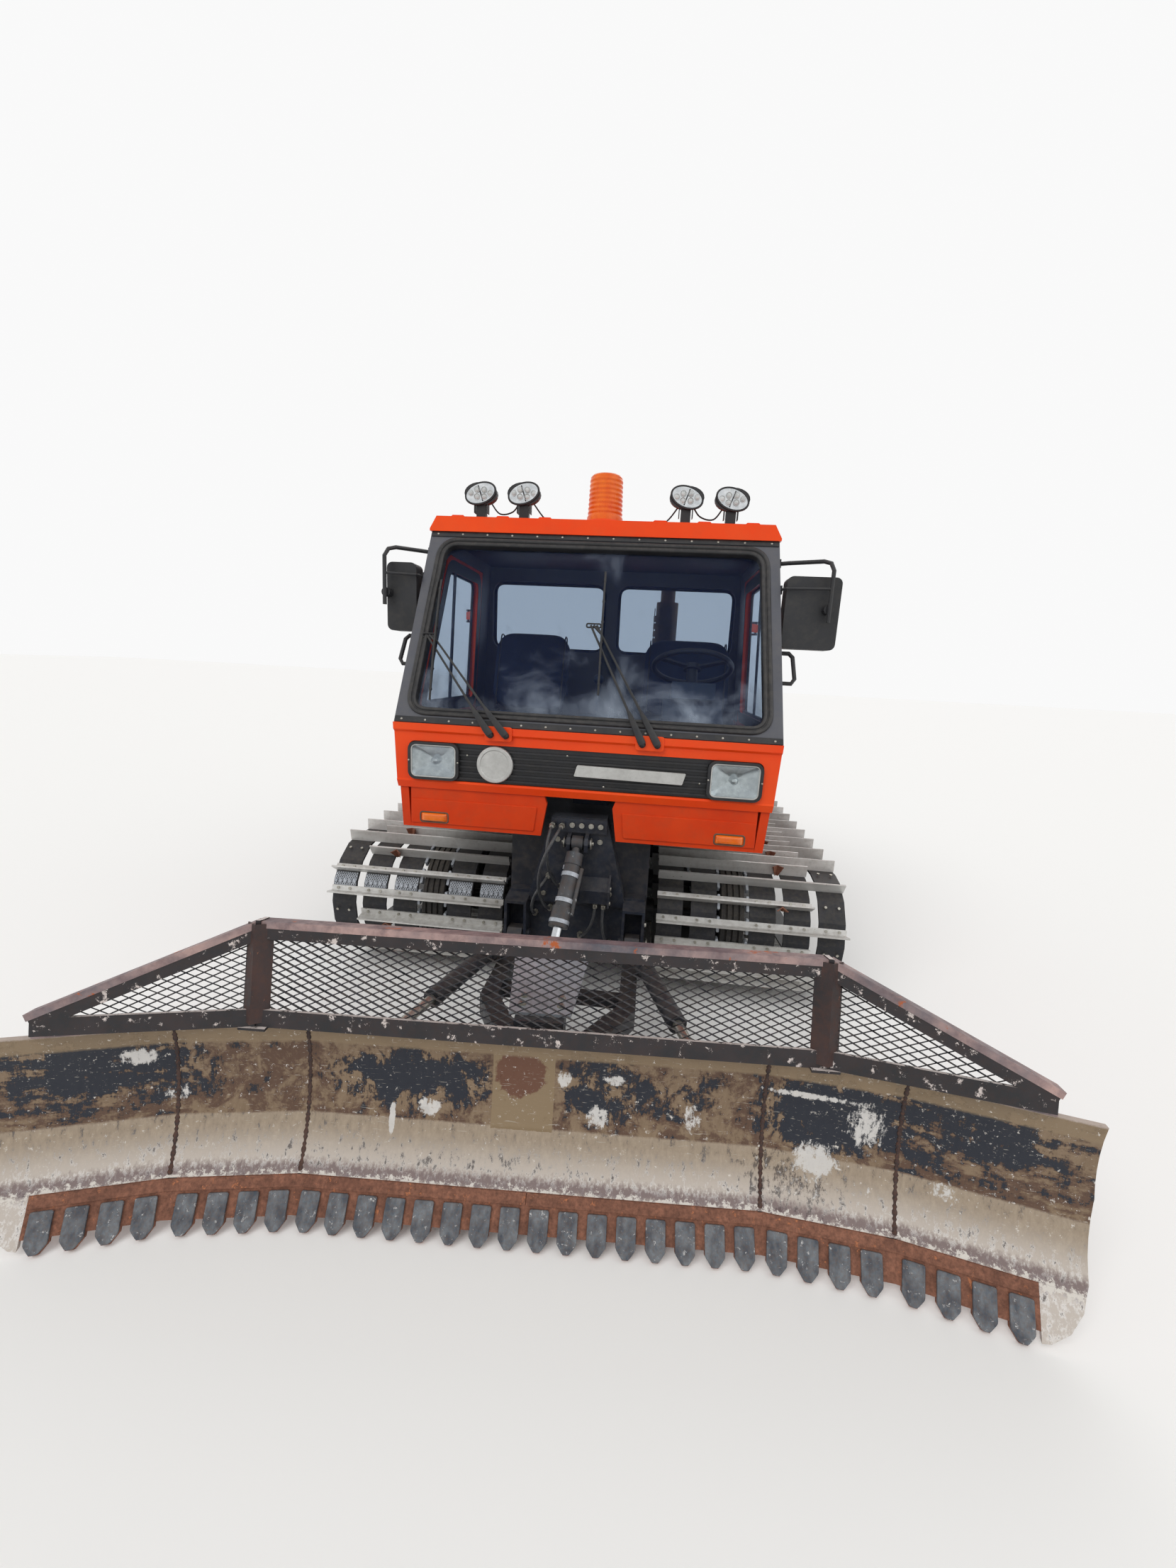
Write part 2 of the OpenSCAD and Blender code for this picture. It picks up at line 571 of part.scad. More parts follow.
function wall_x(z) = z < waist_z
    ? sill_half_w + (waist_half_w - sill_half_w) * (z - sill_z) / (waist_z - sill_z)
    : waist_half_w + (roof_half_w - waist_half_w) * (z - waist_z) / (roof_z - waist_z);
function inner_x(z) = wall_x(z) - wall_t - near;
floor_z = tub_top + near;
floor_t = 24;
floor_top = floor_z + floor_t + near;
// Rear windows, from the pillar between them to the side wall
rear_pillar_w = 70;
rear_win_z = [1705, 2110];
rear_win_x = [rear_pillar_w / 2, min(inner_x(rear_win_z[0]), inner_x(roof_z)) - 15];
rear_window = rounded(rect([(rear_win_x[0] + rear_win_x[1]) / 2, (rear_win_z[0] + rear_win_z[1]) / 2],
    rear_win_x[1] - rear_win_x[0], rear_win_z[1] - rear_win_z[0]), 70);
module rear_wall() color(anthracite) placed() difference() {
    prism_y([[-inner_x(floor_top), floor_top], [inner_x(floor_top), floor_top], [inner_x(waist_z), waist_z],
        [inner_x(roof_z), roof_z], [-inner_x(roof_z), roof_z], [-inner_x(waist_z), waist_z]],
        rear_wall_y - wall_t, rear_wall_y);
    both() prism_y(rear_window, rear_wall_y - wall_t - 1, rear_wall_y + 1);
}
module cab_glass() color(glass) placed() {
    in_screen(-screen_frame_t / 2) linear_extrude(glass_t) polygon(screen_opening);
    both() prism_y(rear_window, rear_wall_y - wall_t / 2, rear_wall_y - wall_t / 2 + glass_t);
}

// Middles of the pressed ribs on one half of the roof
roof_rib_x = [260, 455, 666];
module roof() color(orange) placed() {
    difference() {
        prism_y([[-roof_half_w - 6, roof_z], [roof_half_w + 6, roof_z], [roof_half_w + 6, roof_z + 10],
            [roof_half_w - 26, roof_z + roof_h], [-roof_half_w + 26, roof_z + roof_h], [-roof_half_w - 6, roof_z + 10]],
            screen_head_y - 14, rear_wall_y + 20);
        prism_y([[-roof_half_w + 40, roof_z - 1], [roof_half_w - 40, roof_z - 1], [roof_half_w - 40, roof_z + roof_h - 24],
            [-roof_half_w + 40, roof_z + roof_h - 24]], screen_head_y + 90, rear_wall_y - wall_t);
    }
    both() for (x = roof_rib_x) prism_y([[x - 39, roof_z + roof_h - 2], [x + 39, roof_z + roof_h - 2],
        [x + 25, roof_z + roof_h + 10], [x - 25, roof_z + roof_h + 10]], screen_head_y + 6, rear_wall_y - 20);
    translate([0, 420, roof_z + roof_h - 2]) cylinder(h = 24, r1 = 105, r2 = 92, $fn = 48);
}
module beacon() color("#ff7a10") placed() translate([0, 420, roof_z + roof_h + 22]) rotate_extrude($fn = 64)
    polygon([[0, 0], [84, 0], [84, 22], [80, 26], [76, 190], [66, 205], [0, 208]]);

// Work lamps: X, Y and Z of each lamp's middle
work_lamp_at = [[372, 360, 2385], [572, 350, 2379]];
work_lamp_w = 154;
work_lamp_h = 98;
function oval(c, w, h, n = 24) = [for (i = [0 : n - 1]) c + [w / 2 * cos(360 * i / n), h / 2 * sin(360 * i / n)]];
module work_lamps() color(black) placed() both() for (p = work_lamp_at) {
    prism_y(oval([p[0], p[2]], work_lamp_w, work_lamp_h), p[1] - 26, p[1]);
    prism_y(oval([p[0], p[2]], work_lamp_w - 14, work_lamp_h - 12), p[1] - 2, p[1] + 22);
    prism_y(oval([p[0], p[2]], work_lamp_w - 50, work_lamp_h - 36), p[1] + 20, p[1] + 36);
    block([p[0] - 22, p[1] - 16, roof_z + roof_h], [p[0] + 22, p[1] + 14, p[2] - work_lamp_h / 2 + 14]);
}

module wipers() color(black) placed() {
    for (w = [[-356, -700], [283, 36]]) {
        for (dx = [-33, 33]) {
            translate([w[0] + dx, nose_y - 8, 1317]) rotate([90, 0, 0]) cylinder(h = 26, r = 13, $fn = 24);
            rod([w[0] + dx, nose_y - 26, 1317], [w[1] + dx * 0.6, screen_y(1780) - 62, 1760], 6);
        }
        rod([w[1] - 20, screen_y(1780) - 62, 1760], [w[1] + 20, screen_y(1780) - 62, 1760], 7);
        rod([w[1], screen_y(1460) - 30, 1460], [w[1], screen_y(1985) - 30, 1985], 8);
        rod([w[1], screen_y(1760) - 50, 1760], [w[1], screen_y(1780) - 28, 1770], 6);
    }
}

// Mirrors: side, middle from the side wall and width of each housing
mirror_at = [[-1, 85, 138], [1, 129, 226]];
mirror_y = 196;
mirror_z = 1890;
mirror_h = 300;
function mirror_x(m) = wall_x(mirror_z) + m[1];
// Pad that lies on the side wall, from y0 to y1 and z0 to z1
module side_pad(y0, y1, z0, z1, t = 10) side_wall(y0, y1, z0, z1, -t, -near);
module mirrors() color(black) placed() for (m = mirror_at) on_side(m[0]) {
    prism_y(rounded(rect([mirror_x(m), mirror_z], m[2], mirror_h), 26), mirror_y - 38, mirror_y + 42);
    rod([mirror_x(m) + 60, 122.6, 1905], [mirror_x(m) + 60, mirror_y - 33, 1905], 20);
}
module mirror_arms() color(black) placed() {
    for (m = mirror_at) on_side(m[0]) {
        x = mirror_x(m);
        tube([[wall_x(2106) + 6, 276, 2106], [wall_x(2106) + 40, 262, 2108], [x + 30, 170, 2104], [x + 52, 140, 2092],
            [x + 60, 116, 2060], [x + 60, 112, 1850]], 18);
        tube([[wall_x(1986) + 6, 204, 1986], [wall_x(1986) + 7, 160, 1986], [wall_x(1986) + 14, 142, 1986],
            [x + 60, 112, 1986]], 11);
    }
    both() {
        side_pad(262, 290, 2088, 2124);
        side_pad(190, 214, 1968, 2004, 8);
    }
}
module grab_handles() color(black) placed() both() {
    side_pad(166, 196, 1702, 1738);
    side_pad(112, 142, 1574, 1610);
    tube([[wall_x(1720) + 6, 181, 1720], [wall_x(1720) + 52, 181, 1720], [wall_x(1720) + 68, 174, 1704],
        [wall_x(1592) + 72, 134, 1612], [wall_x(1592) + 58, 127, 1592], [wall_x(1592) + 6, 127, 1592]], 19);
}

module cab_floor() color(black) placed() difference() {
    block([-inner_x(floor_z), nose_y + nose_d + 4, floor_z], [inner_x(floor_z), rear_wall_y, floor_z + floor_t]);
    block([-230, nose_y, floor_z - 1], [230, tub_front + near, floor_z + floor_t + 1]);
}

wheel_at = [460, 372, 1640];
wheel_tilt = 24;
column_len = 130;
module on_column() translate(wheel_at) rotate([-wheel_tilt, 0, 0]) children();
module console() color("#2f3a4a") placed() {
    prism_x([[20, floor_top], [360, floor_top], [360, 1150], [330, 1480], [200, 1500], [20, 1380]], 330, 590);
    on_column() translate([0, 0, -column_len - 120]) cylinder(h = 120, r = 34, $fn = 32);
    prism_x([[20, 1240], [160, 1240], [160, 1350], [20, 1380]], -720, 331);
    prism_x([[420, floor_top], [1080, floor_top], [1080, 1340], [420, 1380]], -90, 90);
    rod([0, 560, 1360], [0, 540, 1560], 12);
    translate([0, 540, 1560]) sphere(r = 26, $fn = 32);
    block([-720, 20, floor_top], [-700, 160, 1241]);
}
module steering_wheel() color(black) placed() on_column() {
    rotate_extrude($fn = 64) translate([182, 0]) circle(r = 13, $fn = 24);
    cylinder(h = 24, r = 40, center = true, $fn = 32);
    for (a = [90, 210, 330]) rotate([0, 0, a]) translate([30, -14, -5]) cube([146, 28, 10]);
    translate([0, 0, -column_len + near]) cylinder(h = column_len - 4, r = 26, $fn = 32);
}

// Seats: middle in X and width of each
seat_at = [[-450, 440], [470, 490]];
seat_base_z = 1230;
seat_top_z = 1360;
module seat_bases() color(black) placed() for (s = seat_at)
    block([s[0] - 190, 620, floor_top], [s[0] + 190, 1020, seat_base_z]);
module seat_cushions() color("#2c3648") placed() for (s = seat_at) {
    prism_x(rounded([[560, seat_base_z + near], [1050, seat_base_z + near], [1050, seat_top_z], [560, seat_top_z]], 30),
        s[0] - s[1] / 2, s[0] + s[1] / 2);
    prism_x(rounded([[915, seat_top_z + near], [1040, seat_top_z + near], [1140, 1790], [1040, 1800]], 30),
        s[0] - s[1] / 2, s[0] + s[1] / 2);
}

// Gaps round the engine block: to the tub's sides, to the bay's ends and to the deck's upper face
engine_gap = [40, 20, 60];
module engine() color(steel) placed() block([-tub_w / 2 + engine_gap[0], hood_front_y + engine_gap[1], tub_low + tub_t],
    [tub_w / 2 - engine_gap[0], hood_rear_y - 50, deck_z - engine_gap[2]]);

lamp_back_x = 690;
// Hinges: middles of the engine cover's knuckles in X and of the doors' knuckles in Z
hood_hinge_x = [-400, 400];
hood_hinge = [hood_front_y - 20, deck_z + hood_h + 14];
knuckle = 44;
knuckle_r = 12;
lug_t = 10;
lug_gap = 5;
hinge_r = 6;
hinge_play = 0.05;
module hood_lugs() for (x = hood_hinge_x) {
    for (x0 = [x - knuckle / 2 - lug_gap - lug_t, x + knuckle / 2 + lug_gap]) prism_x([[hood_hinge[0] - knuckle_r, hood_hinge[1]],
        [hood_hinge[0], hood_hinge[1] + knuckle_r], [hood_front_y - 4, hood_hinge[1] + 4], [hood_front_y - 4, hood_hinge[1] - 16],
        [hood_front_y + 2, hood_hinge[1] - 16], [hood_front_y + 2, hood_hinge[1] - 50], [hood_hinge[0] - knuckle_r, hood_hinge[1] - 14]],
        x0, x0 + lug_t);
    pin_x(x - knuckle / 2 - lug_gap - lug_t, x + knuckle / 2 + lug_gap + lug_t, hood_hinge[0], hood_hinge[1], hinge_r);
}
slab_t = 40;
bay_half_w = tub_w / 2 - tub_t;
hood_half_w = 560;
box_t = 20;
module deck() color(black) placed() {
    difference() {
        union() {
            block([-deck_half_w, rear_wall_y + near, deck_z - slab_t], [deck_half_w, deck_rear_y, deck_z]);
            block([-tub_w / 2, rear_wall_y + 40, tub_top], [tub_w / 2, tub_rear, deck_z - slab_t]);
        }
        block([-bay_half_w, hood_front_y + box_t, tub_top - 1], [bay_half_w, hood_rear_y - 2 * box_t, deck_z + 1]);
        block([-bay_half_w, hood_rear_y + 60, tub_top - 1], [bay_half_w, tub_rear - box_t, deck_z - slab_t - 10]);
    }
    both() block([lamp_back_x - 80, deck_rear_y - 42, deck_z - 140], [lamp_back_x + 80, deck_rear_y - 32, deck_z - slab_t + 1]);
}
module engine_box() color(black) placed() {
    hood_lugs();
    difference() {
        block([-hood_half_w, hood_front_y, deck_z], [hood_half_w, hood_rear_y, deck_z + hood_h]);
        block([-hood_half_w + box_t, hood_front_y + box_t, deck_z - 1], [hood_half_w - box_t, hood_rear_y - box_t, deck_z + hood_h + 1]);
    }
}
rail_in = 24;
rail_r = 17;
post_r = 14;
module deck_rails() color(black) placed() {
    x = deck_half_w - rail_in;
    y0 = hood_rear_y + 60;
    y1 = deck_rear_y - 40;
    top = deck_z + rail_h;
    bent_rod([[-x, y0, deck_z], [-x, y0, top], [-x, y1, top], [x, y1, top], [x, y0, top], [x, y0, deck_z]], rail_r);
    both() for (k = [1 : 3]) rod([x, y0 + (y1 - y0) * k / 3, deck_z], [x, y0 + (y1 - y0) * k / 3, top], post_r);
    both() rod([x / 3, y1, deck_z], [x / 3, y1, top], post_r);
}
module engine_hood() color(orange) placed() difference() {
    union() {
        block([-hood_half_w - 15, hood_front_y, deck_z + hood_h + 5], [hood_half_w + 15, hood_rear_y + 8, deck_z + hood_h + 35]);
        for (x = hood_hinge_x) {
            block([x - knuckle / 2, hood_hinge[0], hood_hinge[1] - 6], [x + knuckle / 2, hood_front_y + 1, hood_hinge[1] + 6]);
            pin_x(x - knuckle / 2, x + knuckle / 2, hood_hinge[0], hood_hinge[1], knuckle_r);
        }
    }
    pin_x(-500, 500, hood_hinge[0], hood_hinge[1], hinge_r + hinge_play);
}
module exhaust_stack() color(steel) placed() translate([338, 1380, 0]) {
    translate([0, 0, deck_z]) cylinder(h = 40, r = 45, $fn = 40);
    translate([0, 0, deck_z + 40]) cylinder(h = 880, r = 68, $fn = 48);
    translate([0, 0, deck_z + 920]) cylinder(h = 80, r = 45, $fn = 40);
}
module tail_lamps() color("#b01818") placed() both()
    prism_y(rounded(rect([lamp_back_x, deck_z - 100], 150, 70), 12), deck_rear_y - 32 + near, deck_rear_y - 4);

hitch_z = 520;
hitch_r = 16.5;
module rear_hitch() color(black) placed() {
    block([-180, tub_rear, hitch_z - 160], [180, tub_rear + 20, hitch_z + 220]);
    difference() {
        for (z = [hitch_z - 60, hitch_z + 40]) block([-70, tub_rear + 20, z], [70, tub_rear + 170, z + 20]);
        translate([0, tub_rear + 110, hitch_z - 70]) cylinder(h = 140, r = hitch_r, $fn = 48);
    }
}

// Sweeps an eight-sided tube along a route
function tube_frame(pts, i) = let (a = pts[max(i - 1, 0)], b = pts[min(i + 1, len(pts) - 1)],
    t = unit(b - a), s = unit(cross(t, [1, 0.2, 0.1]))) [s, cross(t, s)];
module tube(pts, d, sides = 8) {
    n = len(pts);
    ring = [for (i = [0 : n - 1]) let (f = tube_frame(pts, i)) for (k = [0 : sides - 1])
        pts[i] + d / 2 * (cos(360 * k / sides) * f[0] + sin(360 * k / sides) * f[1])];
    faces = concat([[for (k = [0 : sides - 1]) k]],
        [for (i = [0 : n - 2], k = [0 : sides - 1]) let (a = i * sides, m = (k + 1) % sides)
            each [[a + k, a + sides + k, a + sides + m], [a + k, a + sides + m, a + m]]],
        [[for (k = [sides - 1 : -1 : 0]) (n - 1) * sides + k]]);
    polyhedron(ring, faces, convexity = 4);
}
fitting_y = tower_y - 44 - near;
tower_face = tower_y - near;
foot_face = tower_y + 20 - near;
hose_d = 22;
module hoses() color(black) placed() {
    tube([[manifold_x, fitting_y, manifold_z], [manifold_x, -80, manifold_z], [-117, -98, 925], [-119, -104, 880],
        [-106, -102, 800], [-92, -96, 730], [-80, -82, 680], [-74, -60, 652], [-72, tower_face - 10, 645], [-72, tower_face, 645]], hose_d);
    x = manifold_x + manifold_pitch;
    tube([[x, fitting_y, manifold_z], [x, -76, manifold_z], [x - 3, -88, 922], [-88, -84, 880], [-120, -72, 825],
        [-126, -68, 735], [-138, -68, 650], [-130, -66, 590], [-120, -50, 545], [-118, foot_face - 12, 530],
        [-118, foot_face, 530]], hose_d);
    tube([[-128, tower_face, 690], [-128, tower_face - 10, 690], [-140, -50, 682], [-168, -66, 650], [-192, -72, 610],
        [-196, -70, 560], [-190, -58, 515], [-186, foot_face - 12, 500], [-186, foot_face, 500]], hose_d);
    tube([[91, -50, 592 - near], [91, -50, 570], [90, -56, 530], [80, -70, 485], [58, -78, 448], [34, -68, 425],
        [26, -40, 412], [25, foot_face - 12, 410], [25, foot_face, 410]], hose_d);
    tube([[128, -52, 592 - near], [128, -52, 570], [124, -60, 530], [122, -70, 480], [130, -76, 435], [148, -66, 400],
        [160, -40, 385], [162, foot_face - 12, 382], [162, foot_face, 382]], hose_d);
}

// Push frame: two arms from the hinge that meet at the king pin
king_y = blade_y + king_back * cos(blade_yaw);
king_z = 330;
king_r = 32;
arm_w = 66;
module push_frame() color(black) placed() difference() {
    union() {
        both() prism_z([[arm_x - arm_w / 2, hinge_y - 30], [arm_x + arm_w / 2, hinge_y - 30],
            [arm_x + arm_w / 2, -520], [80, king_y - 80], [0, king_y - 80], [0, king_y + 60], [60, king_y + 60],
            [arm_x - arm_w / 2, -500]], king_z - 40, king_z + 40);
        both() prism_x([[hinge_y + 34, hinge_z - 10], [hinge_y + 20, hinge_z + 34], [hinge_y - 30, hinge_z + 36],
            [hinge_y - 120, king_z + 38], [hinge_y - 120, king_z - 38], [hinge_y - 30, king_z - 40],
            [hinge_y + 30, hinge_z - 30]], arm_x - arm_w / 2, arm_x + arm_w / 2);
        block([-arm_x, lift_low_y + 43, king_z - 38], [arm_x, lift_low_y + 103, king_z]);
        for (x = [lift_low_x - 52, lift_low_x + 52]) prism_x([[lift_low_y - 36, lift_low_z - 30],
            [lift_low_y + 60, king_z - 38], [lift_low_y + 60, king_z], [lift_low_y + 20, lift_low_z + 34],
            [lift_low_y - 20, lift_low_z + 34], [lift_low_y - 40, lift_low_z]], x - 7, x + 7);
        both() {
            for (z = [angle_z - 41, angle_z + 29]) block([arm_x + 20, angle_rear[1] - 20, z],
                [angle_rear[0] + 36, angle_rear[1] + 54, z + 12]);
            block([arm_x + 20, angle_rear[1] + 42, king_z + 30], [angle_rear[0] + 36, angle_rear[1] + 54, angle_z + 41]);
            translate([angle_rear[0], angle_rear[1], angle_z - 46]) cylinder(h = 92, r = angle_pin_r, $fn = 48);
        }
    }
    both() pin_x(arm_x - 60, arm_x + 60, hinge_y, hinge_z, hinge_pin_r + 0.05);
    translate([0, king_y, 0]) cylinder(h = 900, r = king_r, $fn = 48);
    pin_x(lift_low_x - 45, lift_low_x + 45, lift_low_y, lift_low_z, 38);
}

lift_a = [0, lift_top_y, lift_top_z];
lift_b = [lift_low_x, lift_low_y, lift_low_z];
lift_cap = [52, 105];
lift_gland = 290;
lift_line_r = 12;
module lift_barrel() color(steel) placed() difference() {
    union() {
        aim(lift_a, lift_b) {
            cylinder(h = lift_cap[0] + 5, r = 18, $fn = 48);
            translate([0, 0, lift_cap[0]]) cylinder(h = lift_cap[1] - lift_cap[0], r = lift_r + 2, $fn = 48);
            translate([0, 0, lift_cap[1] - 5]) cylinder(h = lift_barrel_len - lift_cap[1], r = lift_r - 2, $fn = 48);
            translate([0, 0, lift_gland]) cylinder(h = lift_barrel_len - lift_gland, r = lift_r + 5, $fn = 48);
            // Oil line beside the barrel
            translate([12, lift_r + 3, lift_cap[1] + 5]) cylinder(h = lift_gland - lift_cap[1] + 20, r = lift_line_r, $fn = 32);
        }
        pin_x(-24, 24, lift_top_y, lift_top_z, 32);
    }
    aim(lift_a, lift_b) translate([0, 0, 70]) cylinder(h = 500, r = 20.05, $fn = 48);
    pin_x(-60, 60, lift_top_y, lift_top_z, hinge_pin_r + 0.05);
}
module lift_rod() color(silver) placed() {
    aim(lift_a, lift_b) translate([0, 0, 260]) cylinder(h = norm(lift_b - lift_a) - 260, r = 20, $fn = 48);
    pin_x(lift_low_x - 22, lift_low_x + 22, lift_low_y, lift_low_z, 32);
}

// Angle cylinders: rear eye on the push arm, front eye on the blade's back beam
angle_r = 34;
angle_pin_r = 16;
angle_barrel_start = 40;
angle_barrel_len = 405;
angle_rod_len = 405;
angle_eye_x = 500;
angle_eye_y = 290;
angle_z = 430;
angle_rear = [arm_x + 58, -290, angle_z];
function turned(p, a) = [p[0] * cos(a) - p[1] * sin(a), p[0] * sin(a) + p[1] * cos(a)];
function angle_front(side) = let (p = turned([side * angle_eye_x, angle_eye_y - king_back], blade_yaw))
    [p[0], p[1] + king_y, angle_z];
function angle_back(side) = [side * angle_rear[0], angle_rear[1], angle_z];
module angle_barrel(side) color(black) placed() difference() {
    union() {
        aim(angle_back(side), angle_front(side)) {
            cylinder(h = angle_barrel_start + 4, r = 22, $fn = 48);
            translate([0, 0, angle_barrel_start]) cylinder(h = angle_barrel_len - angle_barrel_start, r = angle_r, $fn = 48);
        }
        translate(angle_back(side) + [0, 0, -24]) cylinder(h = 48, r = angle_r, $fn = 48);
    }
    aim(angle_back(side), angle_front(side)) translate([0, 0, 46]) cylinder(h = 500, r = 18.05, $fn = 48);
    translate(angle_back(side) + [0, 0, -40]) cylinder(h = 80, r = angle_pin_r + 0.05, $fn = 48);
}
module angle_rod(side) color(silver) placed() {
    l = norm(angle_front(side) - angle_back(side));
    aim(angle_back(side), angle_front(side)) translate([0, 0, l - angle_rod_len]) cylinder(h = angle_rod_len, r = 18, $fn = 48);
    translate(angle_front(side) + [0, 0, -22]) cylinder(h = 44, r = 30, $fn = 48);
}
module angle_barrel_left() angle_barrel(-1);
module angle_barrel_right() angle_barrel(1);
module angle_rod_left() angle_rod(-1);
module angle_rod_right() angle_rod(1);

// Blade, in its own frame: X along the blade, Y back from the teeth's tips
module on_blade() placed() translate([king_back * sin(blade_yaw), blade_y, 0]) rotate([0, 0, blade_yaw]) children();
tip_lift = board_t * cos(edge_slope);
foot_y = edge_len * cos(edge_slope);
foot_z = edge_len * sin(edge_slope) + tip_lift;
top_y = 174;
// Points of the moldboard's curved section: an arc that starts along the cutting edge, moved back by d
chord = [top_y - foot_y, board_top - foot_z];
chord_a = atan2(chord[1], chord[0]);
half_turn = chord_a - edge_slope;
arc_r = norm(chord) / 2 / sin(half_turn);
arc_c = [foot_y, foot_z] + arc_r * [-sin(edge_slope), cos(edge_slope)];
arc_steps = 10;
function board_arc(d) = [for (i = [0 : arc_steps]) let (a = edge_slope - 90 + 2 * half_turn * i / arc_steps)
    arc_c + (arc_r + d) * [cos(a), sin(a)]];
function flip(p) = [for (i = [len(p) - 1 : -1 : 0]) p[i]];
board_section = concat(board_arc(0), flip(board_arc(board_t)));
// Sections of the blade: start X, end X, sweep angle and the forward reach at the start
mid_reach = (blade_wing - blade_mid) * tan(mid_sweep);
sections = [[0, blade_mid, 0, 0], [blade_mid, blade_wing, mid_sweep, 0], [blade_wing, blade_half, wing_sweep, mid_reach]];
miter = [0, mid_sweep / 2, (mid_sweep + wing_sweep) / 2, wing_sweep];
// Moves to a section's start, with X along it
module in_section(s) translate([s[0], -s[3], 0]) rotate([0, 0, -s[2]]) children();
// Plan edge at the start or end of section i, d beyond the joint: front and rear point
function plan_edge(i, at_end, d) = let (s = sections[i], a = miter[at_end ? i + 1 : i], x = at_end ? s[1] : s[0],
    y = -s[3] - (at_end ? (s[1] - s[0]) * tan(s[2]) : 0), q = 400) [[x - q * tan(a) + d, y - q], [x + q * tan(a) + d, y + q]];
weld_gap = 0.3;
module section_region(i) {
    e0 = plan_edge(i, false, weld_gap / 2);
    e1 = plan_edge(i, true, i == 2 ? 100 : -weld_gap / 2);
    prism_z([e0[0], e1[0], e1[1], e0[1]], -50, 1000);
}
module middle_region() {
    e = plan_edge(0, true, -weld_gap / 2);
    prism_z([[-e[0][0], e[0][1]], e[0], e[1], [-e[1][0], e[1][1]]], -50, 1000);
}
end_r = 190;
end_low = 12;
end_outline = concat([[0, -50], [blade_half - end_r, -50], [blade_half - end_r, end_low]],
    [for (i = [1 : 5]) [blade_half - end_r + (end_r - 20) * cos(-90 + 18 * i), end_low + end_r + end_r * sin(-90 + 18 * i)]],
    [[blade_half, 330], [blade_half - 12, 1000], [0, 1000]]);
module moldboard() color("#8a7f72") on_blade() {
    intersection() {
        middle_region();
        prism_x(board_section, -760, 760);
    }
    both() intersection() {
        section_region(1);
        in_section(sections[1]) prism_x(board_section, -60, 760);
    }
    both() intersection() {
        section_region(2);
        in_section(sections[2]) prism_x(board_section, -60, 760);
        prism_y(end_outline, -600, 600);
    }
    // Plate beyond the last tooth, in line with the cutting edge
    both() intersection() {
        in_section(sections[2]) edge_plane() block([edge_teeth[2] * tooth_pitch + weld_gap, 0, 0],
            [600, edge_len - weld_gap, board_t]);
        prism_y(end_outline, -600, 600);
    }
}
// Cutting edge with finger teeth, as an outline along the section and up the slope
tooth_z = 38;
function tooth(x) = [[x - tooth_pitch / 2, tooth_z], [x - tooth_w / 2, tooth_z], [x - tooth_w / 2, 26], [x - 9, 0], [x + 9, 0],
    [x + tooth_w / 2, 26], [x + tooth_w / 2, tooth_z]];
function edge_outline(n, x0) = concat([for (i = [0 : n - 1]) each tooth(x0 + tooth_pitch * (i + 0.5))],
    [[x0 + tooth_pitch * n, tooth_z], [x0 + tooth_pitch * n, edge_len], [x0, edge_len]]);
edge_teeth = [8, 4, 4];
module edge_plane() translate([0, 0, tip_lift]) rotate([edge_slope, 0, 0]) translate([0, 0, -board_t]) children();
// Raised face of a tooth and raised bar above the teeth, d inside the plate's outline
face_len = 100;
face_t = 7;
bar_low = 108;
function tooth_face(x, d) = [[x - 8, d], [x + 8, d], [x + tooth_w / 2 - d, 26], [x + tooth_w / 2 - d, face_len],
    [x - tooth_w / 2 + d, face_len], [x - tooth_w / 2 + d, 26]];
module cutting_edge() color("#8a4a2a") on_blade() both() for (i = [0 : 2]) in_section(sections[i]) edge_plane() {
    linear_extrude(board_t) polygon(edge_outline(edge_teeth[i], 0));
    translate([0, 0, board_t - 1]) {
        linear_extrude(face_t + 1) for (k = [0 : edge_teeth[i] - 1]) polygon(tooth_face(tooth_pitch * (k + 0.5), 1));
        linear_extrude(face_t / 2 + 1) polygon([[1, bar_low], [tooth_pitch * edge_teeth[i] - 1, bar_low],
            [tooth_pitch * edge_teeth[i] - 1, edge_len - 2], [1, edge_len - 2]]);
    }
}

// Carrier behind the moldboard: back beam, plates round the king pin, cylinder ears and step pedestal
beam_back = 236;
beam_low = 345;
beam_high = 480;
step_z = 572;
plate_gap = 5;
function back_face(z) = arc_c[0] + sqrt((arc_r + board_t + near) ^ 2 - (z - arc_c[1]) ^ 2);
function back_points(z0, z1, n) = [for (i = [0 : n]) let (z = z0 + (z1 - z0) * i / n) [back_face(z) + 0.6, z]];
module blade_carrier() color(black) on_blade() {
    difference() {
        union() {
            prism_x(concat([[beam_back, beam_low]], [[beam_back, beam_high]], flip(back_points(beam_low, beam_high, 4))),
                -620, 620);
            for (z = [king_z - 40 - plate_gap - 20, king_z + 40 + plate_gap])
                prism_z([[-160, beam_back - 20], [160, beam_back - 20], [80, king_back + 70], [-80, king_back + 70]], z, z + 20);
            prism_x(concat(back_points(king_z - 65, beam_low + 1, 3), [[beam_back, beam_low + 1], [beam_back, king_z - 65]]),
                -160, 160);
            both() for (z = [angle_z - 39, angle_z + 27]) prism_z([[angle_eye_x - 45, beam_back - 10], [angle_eye_x + 45, beam_back - 10],
                [angle_eye_x + 30, angle_eye_y + 34], [angle_eye_x - 30, angle_eye_y + 34]], z, z + 12);
            both() for (z = [angle_z - 47, angle_z + 39]) translate([angle_eye_x, angle_eye_y, z]) cylinder(h = 8, r = 20, $fn = 32);
            block([-75, beam_back - 10, king_z + 60], [75, beam_back + 130, step_z]);
        }
        translate([0, king_back, king_z - 70]) cylinder(h = 140, r = king_r, $fn = 48);
    }
    translate([0, king_back, king_z - 70]) cylinder(h = 135, r = king_r - 0.05, $fn = 48);
}
